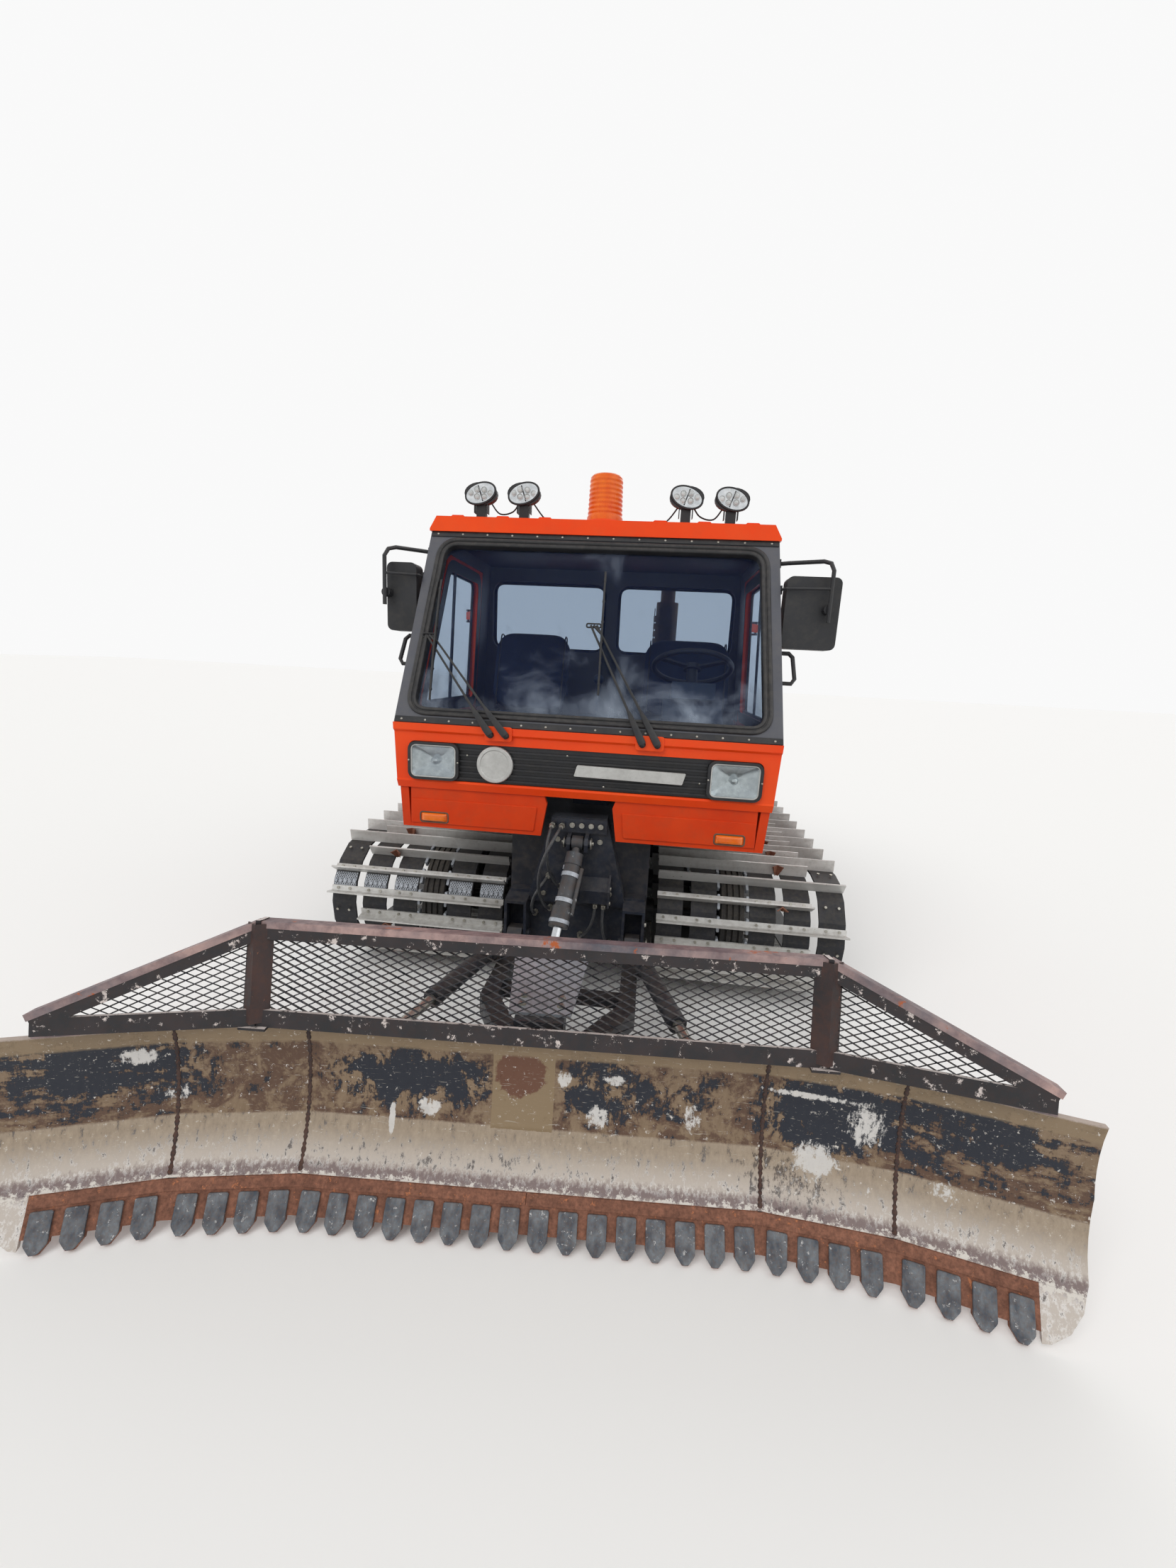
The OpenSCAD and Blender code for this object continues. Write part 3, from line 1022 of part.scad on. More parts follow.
module step_plate() color(silver) on_blade()
    prism_z([[-95, beam_back + 20], [95, beam_back + 20], [145, 715], [-145, 715]], step_z + near, step_z + 10);

// Screen above the moldboard: posts, beams, wing beams down to the blade's ends, and expanded mesh between them
screen_x = screen_mid_w / 2;
screen_foot = [screen_x, 150, board_top + 32];
screen_lean_y = 50;
screen_head = screen_foot + [0, screen_lean_y, screen_h];
screen_tip = [1360, 15, board_top + 46];
mesh_run = norm([screen_lean_y, screen_h]);
beam_w = 50;
beam_t = 12;
shelf_w = 44;
mesh_t = 3;
// Turns of a wing: in plan, up along its lower beam, and back from the level
wing_d = screen_tip - screen_foot;
wing_run = norm(wing_d);
wing_plan = atan2(wing_d[1], wing_d[0]);
wing_rise = asin(wing_d[2] / wing_run);
wing_up = let (x = screen_lean_y * sin(wing_plan)) [x * cos(wing_rise) + screen_h * sin(wing_rise),
    screen_lean_y * cos(wing_plan), screen_h * cos(wing_rise) - x * sin(wing_rise)];
// Outline of a wing in its own plane: foot and head of the post, tip
wing_head = [wing_up[0], norm([wing_up[1], wing_up[2]])];
wing_tip = [wing_run, 0];
module screen_plane() translate([0, screen_foot[1], screen_foot[2]]) rotate([atan2(screen_h, screen_lean_y), 0, 0]) children();
module wing_plane() translate(screen_foot) rotate([0, 0, wing_plan]) rotate([0, -wing_rise, 0])
    rotate([atan2(wing_up[2], wing_up[1]), 0, 0]) children();
// Flat beam between two points of a plane
module beam(a, b) translate(a) rotate([0, 0, atan2(b[1] - a[1], b[0] - a[0])]) translate([0, -beam_w / 2, -beam_t / 2])
    cube([norm(b - a), beam_w, beam_t]);
// Level leg of an upper beam, which makes it an angle iron
module shelf(a, b) translate(a) rotate([0, 0, atan2(b[1] - a[1], b[0] - a[0])])
    translate([0, beam_w / 2 - 8, -shelf_w]) cube([norm(b - a), 8, shelf_w]);
// Underside of the feet of the screen's posts, on the moldboard's upper edge
board_high = arc_c[1] + (arc_r + board_t) * sin(edge_slope - 90 + 2 * half_turn) + near;
module screen_bars() color(black) on_blade() {
    screen_plane() {
        for (v = [0, mesh_run]) beam([-screen_x, v], [screen_x, v]);
        both() block([screen_x - 7, -22, -34], [screen_x + 7, mesh_run + 30, 12]);
        shelf([-screen_x, mesh_run], [screen_x, mesh_run]);
    }
    both() block([screen_x - 40, screen_foot[1] - 22, board_high], [screen_x + 40, screen_foot[1] + 40, board_high + 8]);
    both() wing_plane() {
        beam([0, 0], wing_tip);
        beam(wing_head, wing_tip + [0, beam_w / 4]);
        shelf(wing_head, wing_tip + [0, beam_w / 4]);
    }
}
// Diamond cells of a mesh and their four corners
function cells(cols, rows) = [for (r = [0 : rows - 1], c = [0 : cols - 1]) [(c + 0.5) * diamond_w, (r + 0.5) * diamond_h]];
function diamond(p) = [p + [-diamond_w / 2 + strand_w, 0], p + [0, -diamond_h / 2 + strand_w / 2],
    p + [diamond_w / 2 - strand_w, 0], p + [0, diamond_h / 2 - strand_w / 2]];
// Flat mesh with the given outline and cells, behind the beams
module mesh(outline, at) {
    n = len(outline);
    translate([0, 0, -beam_t / 2 - near - mesh_t]) linear_extrude(mesh_t)
        polygon(concat(outline, [for (p = at) each diamond(p)]),
            concat([[for (i = [0 : n - 1]) i]], [for (i = [0 : len(at) - 1]) [for (k = [0 : 3]) n + 4 * i + k]]));
}
mesh_w = screen_mid_w - 16;
mesh_h = mesh_run + 20;
mesh_cols = floor(mesh_w / diamond_w);
wing_in = 12;
wing_slope = (wing_tip - wing_head) / norm(wing_tip - wing_head);
// Whether a cell lies inside a wing, clear of the post and of the upper beam's middle
function in_wing(p) = min([for (q = diamond(p)) min(q[0] - wing_in - 8,
    (q[0] - wing_head[0]) * wing_slope[1] - (q[1] - wing_head[1]) * wing_slope[0])]) > 4;
wing_cells = [for (p = cells(ceil(wing_run / diamond_w), ceil(wing_head[1] / diamond_h))) if (in_wing(p + [wing_in, 0])) p + [wing_in, 0]];
module screen_mesh() color(black) on_blade() {
    screen_plane() translate([-mesh_w / 2, -10, 0])
        mesh([[0, 0], [mesh_w, 0], [mesh_w, mesh_h], [0, mesh_h]], cells(mesh_cols, floor(mesh_h / diamond_h)));
    both() wing_plane() mesh([[wing_in, -8], [wing_run - 20, -8], wing_head + [wing_in + 6, 0]], wing_cells);
}

tub();
front_tower();
axles();
rims();
tyres();
sprockets();
belts();
track_bars();
cab_floor();
cab_nose();
lower_panels();
grille();
headlamps();
indicators();
windscreen_frame();
side_frames();
rear_wall();
cab_glass();
roof();
beacon();
work_lamps();
wipers();
mirrors();
mirror_arms();
grab_handles();
console();
steering_wheel();
seat_bases();
seat_cushions();
engine();
deck();
engine_box();
deck_rails();
exhaust_stack();
tail_lamps();
rear_hitch();
engine_hood();
door_left();
door_right();
door_glass_left();
door_glass_right();
hoses();
push_frame();
lift_barrel();
lift_rod();
angle_barrel_left();
angle_rod_left();
angle_barrel_right();
angle_rod_right();
blade_carrier();
step_plate();
moldboard();
cutting_edge();
screen_bars();
screen_mesh();
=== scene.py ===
"""Dressed model of a narrow tracked snow groomer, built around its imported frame.

X points to the driver's side, Y to the rear, Z up. Shapes are worked out in millimetres from the
vehicle's datum and turned to metres from the part's origin when they become meshes. The ground is at Z = 0.
"""
import json
import logging
import math
from dataclasses import dataclass
from enum import Enum
from typing import Any, Callable, Sequence

import bmesh
import bpy
import numpy as np
from mathutils import Matrix

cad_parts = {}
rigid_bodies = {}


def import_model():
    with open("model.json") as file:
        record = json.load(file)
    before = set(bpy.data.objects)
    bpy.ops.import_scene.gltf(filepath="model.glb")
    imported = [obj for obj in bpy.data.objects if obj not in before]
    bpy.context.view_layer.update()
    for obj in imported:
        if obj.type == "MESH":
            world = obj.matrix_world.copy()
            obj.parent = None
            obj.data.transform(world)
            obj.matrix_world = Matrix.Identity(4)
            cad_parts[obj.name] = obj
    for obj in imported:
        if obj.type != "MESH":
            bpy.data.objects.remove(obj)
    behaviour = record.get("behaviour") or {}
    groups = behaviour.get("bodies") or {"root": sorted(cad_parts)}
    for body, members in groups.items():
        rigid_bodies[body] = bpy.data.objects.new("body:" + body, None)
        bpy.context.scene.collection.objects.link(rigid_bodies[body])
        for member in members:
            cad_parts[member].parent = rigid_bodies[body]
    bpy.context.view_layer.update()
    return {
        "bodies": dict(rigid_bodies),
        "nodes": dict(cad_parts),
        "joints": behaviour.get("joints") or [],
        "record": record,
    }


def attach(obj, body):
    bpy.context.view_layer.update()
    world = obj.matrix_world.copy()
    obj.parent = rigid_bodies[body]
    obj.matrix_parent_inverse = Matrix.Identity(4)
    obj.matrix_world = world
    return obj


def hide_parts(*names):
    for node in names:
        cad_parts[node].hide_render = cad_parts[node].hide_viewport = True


log = logging.getLogger("groomer")
Vec = Sequence[float]
Array = np.ndarray
Part = tuple[Array, list[Array]]
MM = 0.001
DATUM = 1187.0
# Settings of shader nodes
RGBA = {"data_type": "RGBA"}
SOFT = {"interpolation_type": "SMOOTHSTEP"}
SCALE_ADD = {"operation": "MULTIPLY_ADD"}
TIMES = {"operation": "MULTIPLY"}
MINUS = {"operation": "SUBTRACT"}
ABSOLUTE = {"operation": "ABSOLUTE"}
LARGER = {"operation": "MAXIMUM"}
NEAR = {"operation": "COMPARE"}


class Body(Enum):
    """Bodies of the frame that new pieces ride on."""

    VEHICLE = "vehicle"
    BLADE = "blade"
    BARREL = "lift_barrel_body"
    LEFT_DOOR = "left_door"
    RIGHT_DOOR = "right_door"
    HOOD = "hood"


class Kind(Enum):
    """Shader nodes that the finishes are made of, by their type after ShaderNode."""

    COORD = "TexCoord"
    MAPPING = "Mapping"
    NOISE = "TexNoise"
    WAVE = "TexWave"
    RANGE = "MapRange"
    MATH = "Math"
    VECTOR = "VectorMath"
    MIX = "Mix"
    BUMP = "Bump"
    SPLIT = "SeparateXYZ"
    GEOMETRY = "NewGeometry"
    PRINCIPLED = "BsdfPrincipled"
    TRANSPARENT = "BsdfTransparent"
    MIX_SHADER = "MixShader"
    LIGHT_PATH = "LightPath"
    BACKGROUND = "Background"
    OUTPUT = "OutputMaterial"
    WORLD_OUTPUT = "OutputWorld"


def linear(hex_code: str) -> Vec:
    """Turn an sRGB hex colour into linear RGBA.

    Args:
        hex_code: Six hex digits after a hash sign.

    Returns:
        Linear red, green, blue and an alpha of one.
    """
    channels = [int(hex_code[i : i + 2], 16) / 255 for i in (1, 3, 5)]
    turned = [c / 12.92 if c <= 0.04045 else ((c + 0.055) / 1.055) ** 2.4 for c in channels]
    return (turned[0], turned[1], turned[2], 1.0)


def add(tree: Any, kind: Kind, settings: dict[str, Any] | None = None, **inputs: Any) -> Any:
    """Add a node with its settings, values and links.

    Args:
        tree: Node tree that takes the node.
        kind: Which node to add.
        settings: Properties of the node itself.
        inputs: Value, hex colour, node or output socket for each input, by identifier or name. A pair
            sets the input's Min and Max.

    Returns:
        The new node.
    """
    node = tree.nodes.new("ShaderNode" + kind.value)
    for key, value in (settings or {}).items():
        setattr(node, key, value)
    values: dict[str, Any] = {}
    for key, value in inputs.items():
        pair = isinstance(value, tuple) and len(value) == 2
        values.update({f"{key}_Min": value[0], f"{key}_Max": value[1]} if pair else {key: value})
    for key, value in values.items():
        socket = next(s for s in node.inputs if key in (s.identifier, s.name.replace(" ", "_")))
        if isinstance(value, str):
            value = linear(value)
        if isinstance(value, bpy.types.Node):
            value = next(o for o in value.outputs if o.enabled)
        if isinstance(value, bpy.types.NodeSocket):
            tree.links.new(value, socket)
        else:
            socket.default_value = value
    return node


def blank(name: str) -> tuple[Any, Any]:
    """Return a new material with an empty tree, and the tree."""
    mat = bpy.data.materials.new(name)
    mat.use_nodes = True
    mat.node_tree.nodes.clear()
    return mat, mat.node_tree


@dataclass(frozen=True)
class Finish:
    """A surface finish: a base colour broken up by dirt, wear and fine grain."""

    name: str
    base: str
    second: str
    patch_mm: float
    patch_mix: float
    rough: Vec
    grain_mm: float
    grain_depth_mm: float
    metallic: float = 0.0
    dirt: str = "#6b5c4b"
    dirt_mix: float = 0.25
    chip: str = "#8a8078"
    chip_level: float = 1.0
    chip_mm: float = 30.0
    up_chip: float = 0.0
    stretch: Vec = (1.0, 1.0, 1.0)
    coat: float = 0.0
    shine: float = 0.5
    rib_mm: float = 0.0
    rib_axis: str = "X"

    def make(self) -> Any:
        """Build the material from noise in object space.

        The base mixes to the second colour by broad noise, dirt settles by finer noise and by
        how far the surface faces up, and chips appear where a third noise passes its level,
        which upward faces reach sooner. Ribs are a wave in the bump.

        Returns:
            The Blender material.
        """
        mat, tree = blank(self.name)
        coord = add(tree, Kind.COORD).outputs["Object"]
        place = add(tree, Kind.MAPPING, Vector=coord, Scale=self.stretch)
        broad = add(tree, Kind.NOISE, Vector=place, Scale=1 / (self.patch_mm * MM), Detail=6.0, Roughness=0.6)
        broad = add(tree, Kind.RANGE, Value=broad, From=(0.36, 0.66), To_Max=self.patch_mix)
        fine = add(tree, Kind.NOISE, Vector=coord, Scale=4.5 / (self.patch_mm * MM), Detail=8.0,
                   Roughness=0.7)
        up = add(tree, Kind.SPLIT, Vector=add(tree, Kind.GEOMETRY).outputs["Normal"]).outputs["Z"]
        settle = add(tree, Kind.MATH, SCALE_ADD, Value=up, Value_001=0.16, Value_002=fine)
        settle = add(tree, Kind.RANGE, Value=settle, From=(0.46, 0.82), To_Max=self.dirt_mix)
        chips = add(tree, Kind.NOISE, Vector=coord, Scale=1 / (self.chip_mm * MM), Detail=9.0, Roughness=0.75)
        chips = add(tree, Kind.MATH, SCALE_ADD, Value=up, Value_001=self.up_chip, Value_002=chips)
        chips = add(tree, Kind.RANGE, Value=chips, From=(self.chip_level, self.chip_level + 0.03))
        colour = self.base
        for mask, layer in ((broad, self.second), (settle, self.dirt), (chips, self.chip)):
            colour = add(tree, Kind.MIX, RGBA, Factor_Float=mask, A_Color=colour, B_Color=layer)
        rough = add(tree, Kind.RANGE, Value=fine, From=(0.3, 0.7), To=self.rough)
        grain = add(tree, Kind.NOISE, Vector=coord, Scale=1 / (self.grain_mm * MM), Detail=3.0)
        height = add(tree, Kind.MATH, MINUS, Value=grain, Value_001=chips)
        if self.rib_mm:
            ribs = add(tree, Kind.WAVE, {"bands_direction": self.rib_axis}, Vector=coord,
                       Scale=math.pi / 10 / (self.rib_mm * MM))
            height = add(tree, Kind.MATH, SCALE_ADD, Value=ribs.outputs["Fac"], Value_001=8.0,
                         Value_002=height)
        bump = add(tree, Kind.BUMP, Height=height, Distance=self.grain_depth_mm * MM, Strength=0.7)
        shader = add(tree, Kind.PRINCIPLED, Base_Color=colour, Roughness=rough, Metallic=self.metallic,
                     Normal=bump, Coat_Weight=self.coat, Specular_IOR_Level=self.shine)
        add(tree, Kind.OUTPUT, Surface=shader)
        return mat


@dataclass(frozen=True)
class ClearFinish:
    """A see-through finish: a tinted pane with a sharp reflection and a pale haze that is a painted sky
    reflection.
    """

    name: str
    tint: str
    film: str
    see_through: float
    rough: float
    # Cover and colour of the pale haze, which is a painted sky reflection
    reflection_mix: float = 0.12
    painted_reflection: str = "#a3aebd"

    def make(self) -> Any:
        """Mix a transparent shader with a glossy one, by a haze of noise that thickens towards the foot; the
        haze is a painted sky reflection that turns the gloss pale.

        Returns:
            The Blender material.
        """
        mat, tree = blank(self.name)
        coord = add(tree, Kind.COORD).outputs["Object"]
        haze = add(tree, Kind.NOISE, Vector=coord, Scale=4.0, Detail=7.0, Roughness=0.62, Distortion=0.5)
        low = add(tree, Kind.SPLIT, Vector=coord).outputs["Z"]
        low = add(tree, Kind.RANGE, Value=low, From=(1.4, 1.75), To=(0.2, -0.06))
        haze = add(tree, Kind.MATH, Value=haze, Value_001=low)
        haze = add(tree, Kind.RANGE, Value=haze, From=(0.54, 0.85))
        solid = 1 - self.see_through
        cover = add(tree, Kind.RANGE, Value=haze, To=(solid, solid + self.reflection_mix))
        # Painted reflection: where the haze lies, the gloss colour turns pale blue-grey and covers more of
        # the pane
        colour = add(tree, Kind.MIX, RGBA, Factor_Float=haze, A_Color=self.film, B_Color=self.painted_reflection)
        clear = add(tree, Kind.TRANSPARENT, Color=self.tint)
        gloss = add(tree, Kind.PRINCIPLED, Base_Color=colour, Roughness=self.rough)
        shader = add(tree, Kind.MIX_SHADER, Fac=cover, Shader=clear, Shader_001=gloss)
        add(tree, Kind.OUTPUT, Surface=shader)
        return mat


@dataclass(frozen=True)
class BoardFinish:
    """Scraped moldboard: worn steel with what is left of its navy paint, scrapes and rust.

    Places are in metres along the blade from its middle and up from the ground.
    """

    name: str = "scraped_moldboard"
    turn: float = -0.06196
    shift: Vec = (0.12537, 2.37078, 0.0)
    # Heights of the cutting edge's joint, the stain over it, the wear line, the clean band and the rubbed rim
    joint_z: float = 0.118
    stain_z: float = 0.172
    wear_z: float = 0.275
    band_z: float = 0.488
    rim_z: float = 0.54
    # Remains of paint: middle along and up, half sizes, and how much more paint is there
    navy: tuple[Vec, ...] = (
        (-1.30, 0.42, 0.25, 0.15, 0.23), (-1.02, 0.40, 0.12, 0.10, 0.14), (-0.84, 0.48, 0.14, 0.02, 0.08),
        (-0.36, 0.39, 0.27, 0.10, 0.25), (0.20, 0.40, 0.14, 0.12, 0.19), (0.46, 0.40, 0.14, 0.09, 0.13),
        (0.84, 0.38, 0.17, 0.11, 0.34), (1.20, 0.42, 0.34, 0.15, 0.19))
    # Scrapes down to pale metal: middle, half sizes and strength
    pale: tuple[Vec, ...] = (
        (-1.14, 0.45, 0.06, 0.03, 0.2), (-0.31, 0.31, 0.04, 0.03, 0.2), (0.09, 0.42, 0.03, 0.03, 0.2),
        (0.24, 0.43, 0.04, 0.02, 0.18), (0.19, 0.31, 0.04, 0.04, 0.18), (0.47, 0.33, 0.03, 0.05, 0.15),
        (-0.42, 0.27, 0.010, 0.05, 0.3), (0.80, 0.44, 0.14, 0.012, 0.2), (0.96, 0.37, 0.06, 0.08, 0.16),
        (0.82, 0.27, 0.06, 0.05, 0.18), (0.84, 0.20, 0.2, 0.08, 0.08), (1.16, 0.25, 0.04, 0.03, 0.15),
        (-1.05, 0.33, 0.05, 0.03, 0.14))

    def spots(self, tree: Any, place: Any, table: tuple[Vec, ...], start: Any) -> Any:
        """Add soft ellipses to a value.

        Each row adds its strength, which falls to zero between 0.4 and 1.4 half sizes from its middle.

        Args:
            tree: Node tree of the finish.
            place: Point along the blade.
            table: Middle along and up, half sizes and strength of each ellipse.
            start: Value to add to.

        Returns:
            The raised value.
        """
        for x, z, half_x, half_z, strength in table:
            off = add(tree, Kind.MAPPING, Vector=place, Location=(-x / half_x, 0, -z / half_z),
                      Scale=(1 / half_x, 0, 1 / half_z))
            far = add(tree, Kind.VECTOR, {"operation": "LENGTH"}, Vector=off).outputs["Value"]
            near = add(tree, Kind.RANGE, SOFT, Value=far, From=(0.4, 1.4), To=(strength, 0.0))
            start = add(tree, Kind.MATH, Value=start, Value_001=near)
        return start

    def make(self) -> Any:
        """Build the finish: a mask for each layer, then the layers mixed from the bottom up.

        The lower half is bare metal with tall streaks, lighter towards its foot. Over the wear line lies
        tan primer with brown rust. Paint stays where noise plus the spots' strength passes a level, and
        pale scrapes follow the same way. On the wings the noise is drawn out along a slant. Bands at set
        heights stain the metal above the cutting edge and flake it along the joint.

        Returns:
            The Blender material.
        """
        mat, tree = blank(self.name)
        coord = add(tree, Kind.COORD).outputs["Object"]
        place = add(tree, Kind.MAPPING, Vector=coord, Rotation=(0, 0, self.turn), Location=self.shift)
        split = add(tree, Kind.SPLIT, Vector=place)
        along, up = split.outputs["X"], split.outputs["Z"]
        tall = add(tree, Kind.MAPPING, Vector=place, Scale=(1, 1, 0.22))
        streak = add(tree, Kind.NOISE, Vector=tall, Scale=60.0, Detail=9.0, Roughness=0.75)
        blotch = add(tree, Kind.NOISE, Vector=place, Scale=13.0, Detail=10.0, Roughness=0.68, Distortion=0.4)
        flake = add(tree, Kind.NOISE, Vector=place, Scale=55.0, Detail=10.0, Roughness=0.78)
        folded = add(tree, Kind.VECTOR, ABSOLUTE, Vector=place)
        slant = add(tree, Kind.MAPPING, Vector=folded, Rotation=(0, -0.6, 0), Scale=(0.3, 1, 1))
        slanted = add(tree, Kind.NOISE, Vector=slant, Scale=24.0, Detail=8.0, Roughness=0.66)
        scratch = add(tree, Kind.MAPPING, Vector=folded, Rotation=(0, -0.75, 0), Scale=(0.1, 1, 1))
        scratch = add(tree, Kind.NOISE, Vector=scratch, Scale=210.0, Detail=4.0, Roughness=0.6)
        wing = add(tree, Kind.RANGE, Value=add(tree, Kind.MATH, ABSOLUTE, Value=along), From=(1.0, 1.02))
        blotch = add(tree, Kind.MIX, Factor_Float=wing, A_Float=blotch, B_Float=slanted)
        bare = add(tree, Kind.RANGE, Value=streak, From=(0.35, 0.68))
        colour = add(tree, Kind.MIX, RGBA, Factor_Float=bare, A_Color="#a08f79", B_Color="#837360")
        lower = add(tree, Kind.RANGE, SOFT, Value=up, From=(0.14, 0.25), To=(0.75, 0.1))
        flecks = add(tree, Kind.RANGE, Value=up, From=(0.12, 0.25), To=(0.12, 0.0))
        flecks = add(tree, Kind.MATH, Value=flecks, Value_001=streak)
        flecks = add(tree, Kind.RANGE, Value=flecks, From=(0.6, 0.67), To_Max=0.8)
        specks = ((0.76, 0.2, 0.16, 0.1, 0.07), (-0.3, 0.17, 0.6, 0.03, 0.04))
        specks = self.spots(tree, place, specks, streak)
        specks = add(tree, Kind.RANGE, Value=specks, From=(0.575, 0.64), To_Max=0.85)
        # Tan primer and brown rust over the wear line
        line = add(tree, Kind.MATH, SCALE_ADD, Value=flake, Value_001=0.012, Value_002=up)
        high = add(tree, Kind.RANGE, Value=line, From=(self.wear_z - 0.003, self.wear_z + 0.003))
        tan = add(tree, Kind.RANGE, Value=streak, From=(0.3, 0.7))
        tan = add(tree, Kind.MIX, RGBA, Factor_Float=tan, A_Color="#85715a", B_Color="#6f5b46")
        brown = self.spots(tree, place, ((-0.84, 0.45, 0.2, 0.03, 0.05), (1.2, 0.34, 0.3, 0.12, 0.08),
                                         (-1.25, 0.36, 0.3, 0.1, 0.08)), blotch)
        brown = add(tree, Kind.MATH, SCALE_ADD, Value=flake, Value_001=0.4, Value_002=brown)
        brown = add(tree, Kind.RANGE, Value=brown, From=(0.645, 0.735), To_Max=0.9)
        tan = add(tree, Kind.MIX, RGBA, Factor_Float=brown, A_Color=tan, B_Color="#4f3628")
        # Paint, with a dark rim
        painted = self.spots(tree, place, self.navy, blotch)
        painted = add(tree, Kind.MATH, SCALE_ADD, Value=flake, Value_001=0.3, Value_002=painted)
        painted = add(tree, Kind.MATH, SCALE_ADD, Value=streak, Value_001=0.5, Value_002=painted)
        painted = add(tree, Kind.MATH, TIMES, Value=painted, Value_001=high)
        rim = add(tree, Kind.RANGE, Value=painted, From=(1.0, 1.04))
        paint = add(tree, Kind.RANGE, Value=painted, From=(1.035, 1.06))
        # Square patch at the middle with a mottled rust disc in it
        patch_x = add(tree, Kind.MATH, NEAR, Value=along, Value_001=-0.032, Value_002=0.092)
        patch_z = add(tree, Kind.MATH, NEAR, Value=line, Value_001=0.39, Value_002=0.122)
        patch = add(tree, Kind.MATH, TIMES, Value=patch_x, Value_001=patch_z)
        disc = self.spots(tree, place, ((-0.04, 0.425, 0.085, 0.08, 0.6),), blotch)
        disc = add(tree, Kind.MATH, SCALE_ADD, Value=flake, Value_001=0.35, Value_002=disc)
        disc = add(tree, Kind.RANGE, Value=disc, From=(0.92, 1.0))
        square = add(tree, Kind.MIX, RGBA, Factor_Float=disc, A_Color="#837056", B_Color="#62402f")
        # Clean tan band along the top
        band = add(tree, Kind.RANGE, Value=line, From=(self.band_z, self.band_z + 0.009), To_Max=0.9)
        # Pale scrapes and scratches
        scraped = add(tree, Kind.MATH, SCALE_ADD, Value=streak, Value_001=0.5,
                      Value_002=add(tree, Kind.MATH, TIMES, Value=flake, Value_001=0.5))
        scraped = self.spots(tree, place, self.pale, scraped)
        scraped = add(tree, Kind.RANGE, Value=scraped, From=(0.62, 0.67), To_Max=0.9)
        lines = add(tree, Kind.RANGE, Value=scratch, From=(0.64, 0.70), To_Max=0.5)
        # Purple-brown stain, then white flakes, above the cutting edge
        stain = add(tree, Kind.MATH, SCALE_ADD, Value=streak, Value_001=0.08, Value_002=up)
        stain = add(tree, Kind.MATH, MINUS, Value=stain, Value_001=self.stain_z)
        stain = add(tree, Kind.RANGE, Value=add(tree, Kind.MATH, ABSOLUTE, Value=stain),
                    From=(0.006, 0.026), To=(0.75, 0.0))
        peel = add(tree, Kind.MATH, MINUS, Value=up, Value_001=self.joint_z)
        peel = add(tree, Kind.RANGE, Value=add(tree, Kind.MATH, ABSOLUTE, Value=peel),
                   From_Max=0.024, To=(0.16, 0.0))
        peel = add(tree, Kind.MATH, Value=peel, Value_001=flake)
        peel = add(tree, Kind.RANGE, Value=peel, From=(0.60, 0.64))
        # Rubbed top rim
        top = add(tree, Kind.RANGE, Value=line, From=(self.rim_z, self.rim_z + 0.005), To_Max=0.75)
        for mask, layer in ((lower, "#cac2bb"), (flecks, "#dedad6"), (specks, "#453b36"), (high, tan),
                            (rim, "#4b382b"), (paint, "#151a26"), (patch, square), (band, "#857259"),
                            (scraped, "#cfccc8"), (lines, "#bdb6aa"), (stain, "#5a4347"), (peel, "#d2ccc4"),
                            (top, "#b5a79f")):
            colour = add(tree, Kind.MIX, RGBA, Factor_Float=mask, A_Color=colour, B_Color=layer)
        rough = add(tree, Kind.RANGE, Value=streak, From=(0.3, 0.7), To=(0.42, 0.62))
        metal = add(tree, Kind.RANGE, Value=high, To=(0.35, 0.0))
        height = add(tree, Kind.MATH, MINUS, Value=paint, Value_001=lines)
        bump = add(tree, Kind.BUMP, Height=height, Distance=0.0006, Strength=0.6)
        shader = add(tree, Kind.PRINCIPLED, Base_Color=colour, Roughness=rough, Metallic=metal, Normal=bump)
        add(tree, Kind.OUTPUT, Surface=shader)
        return mat


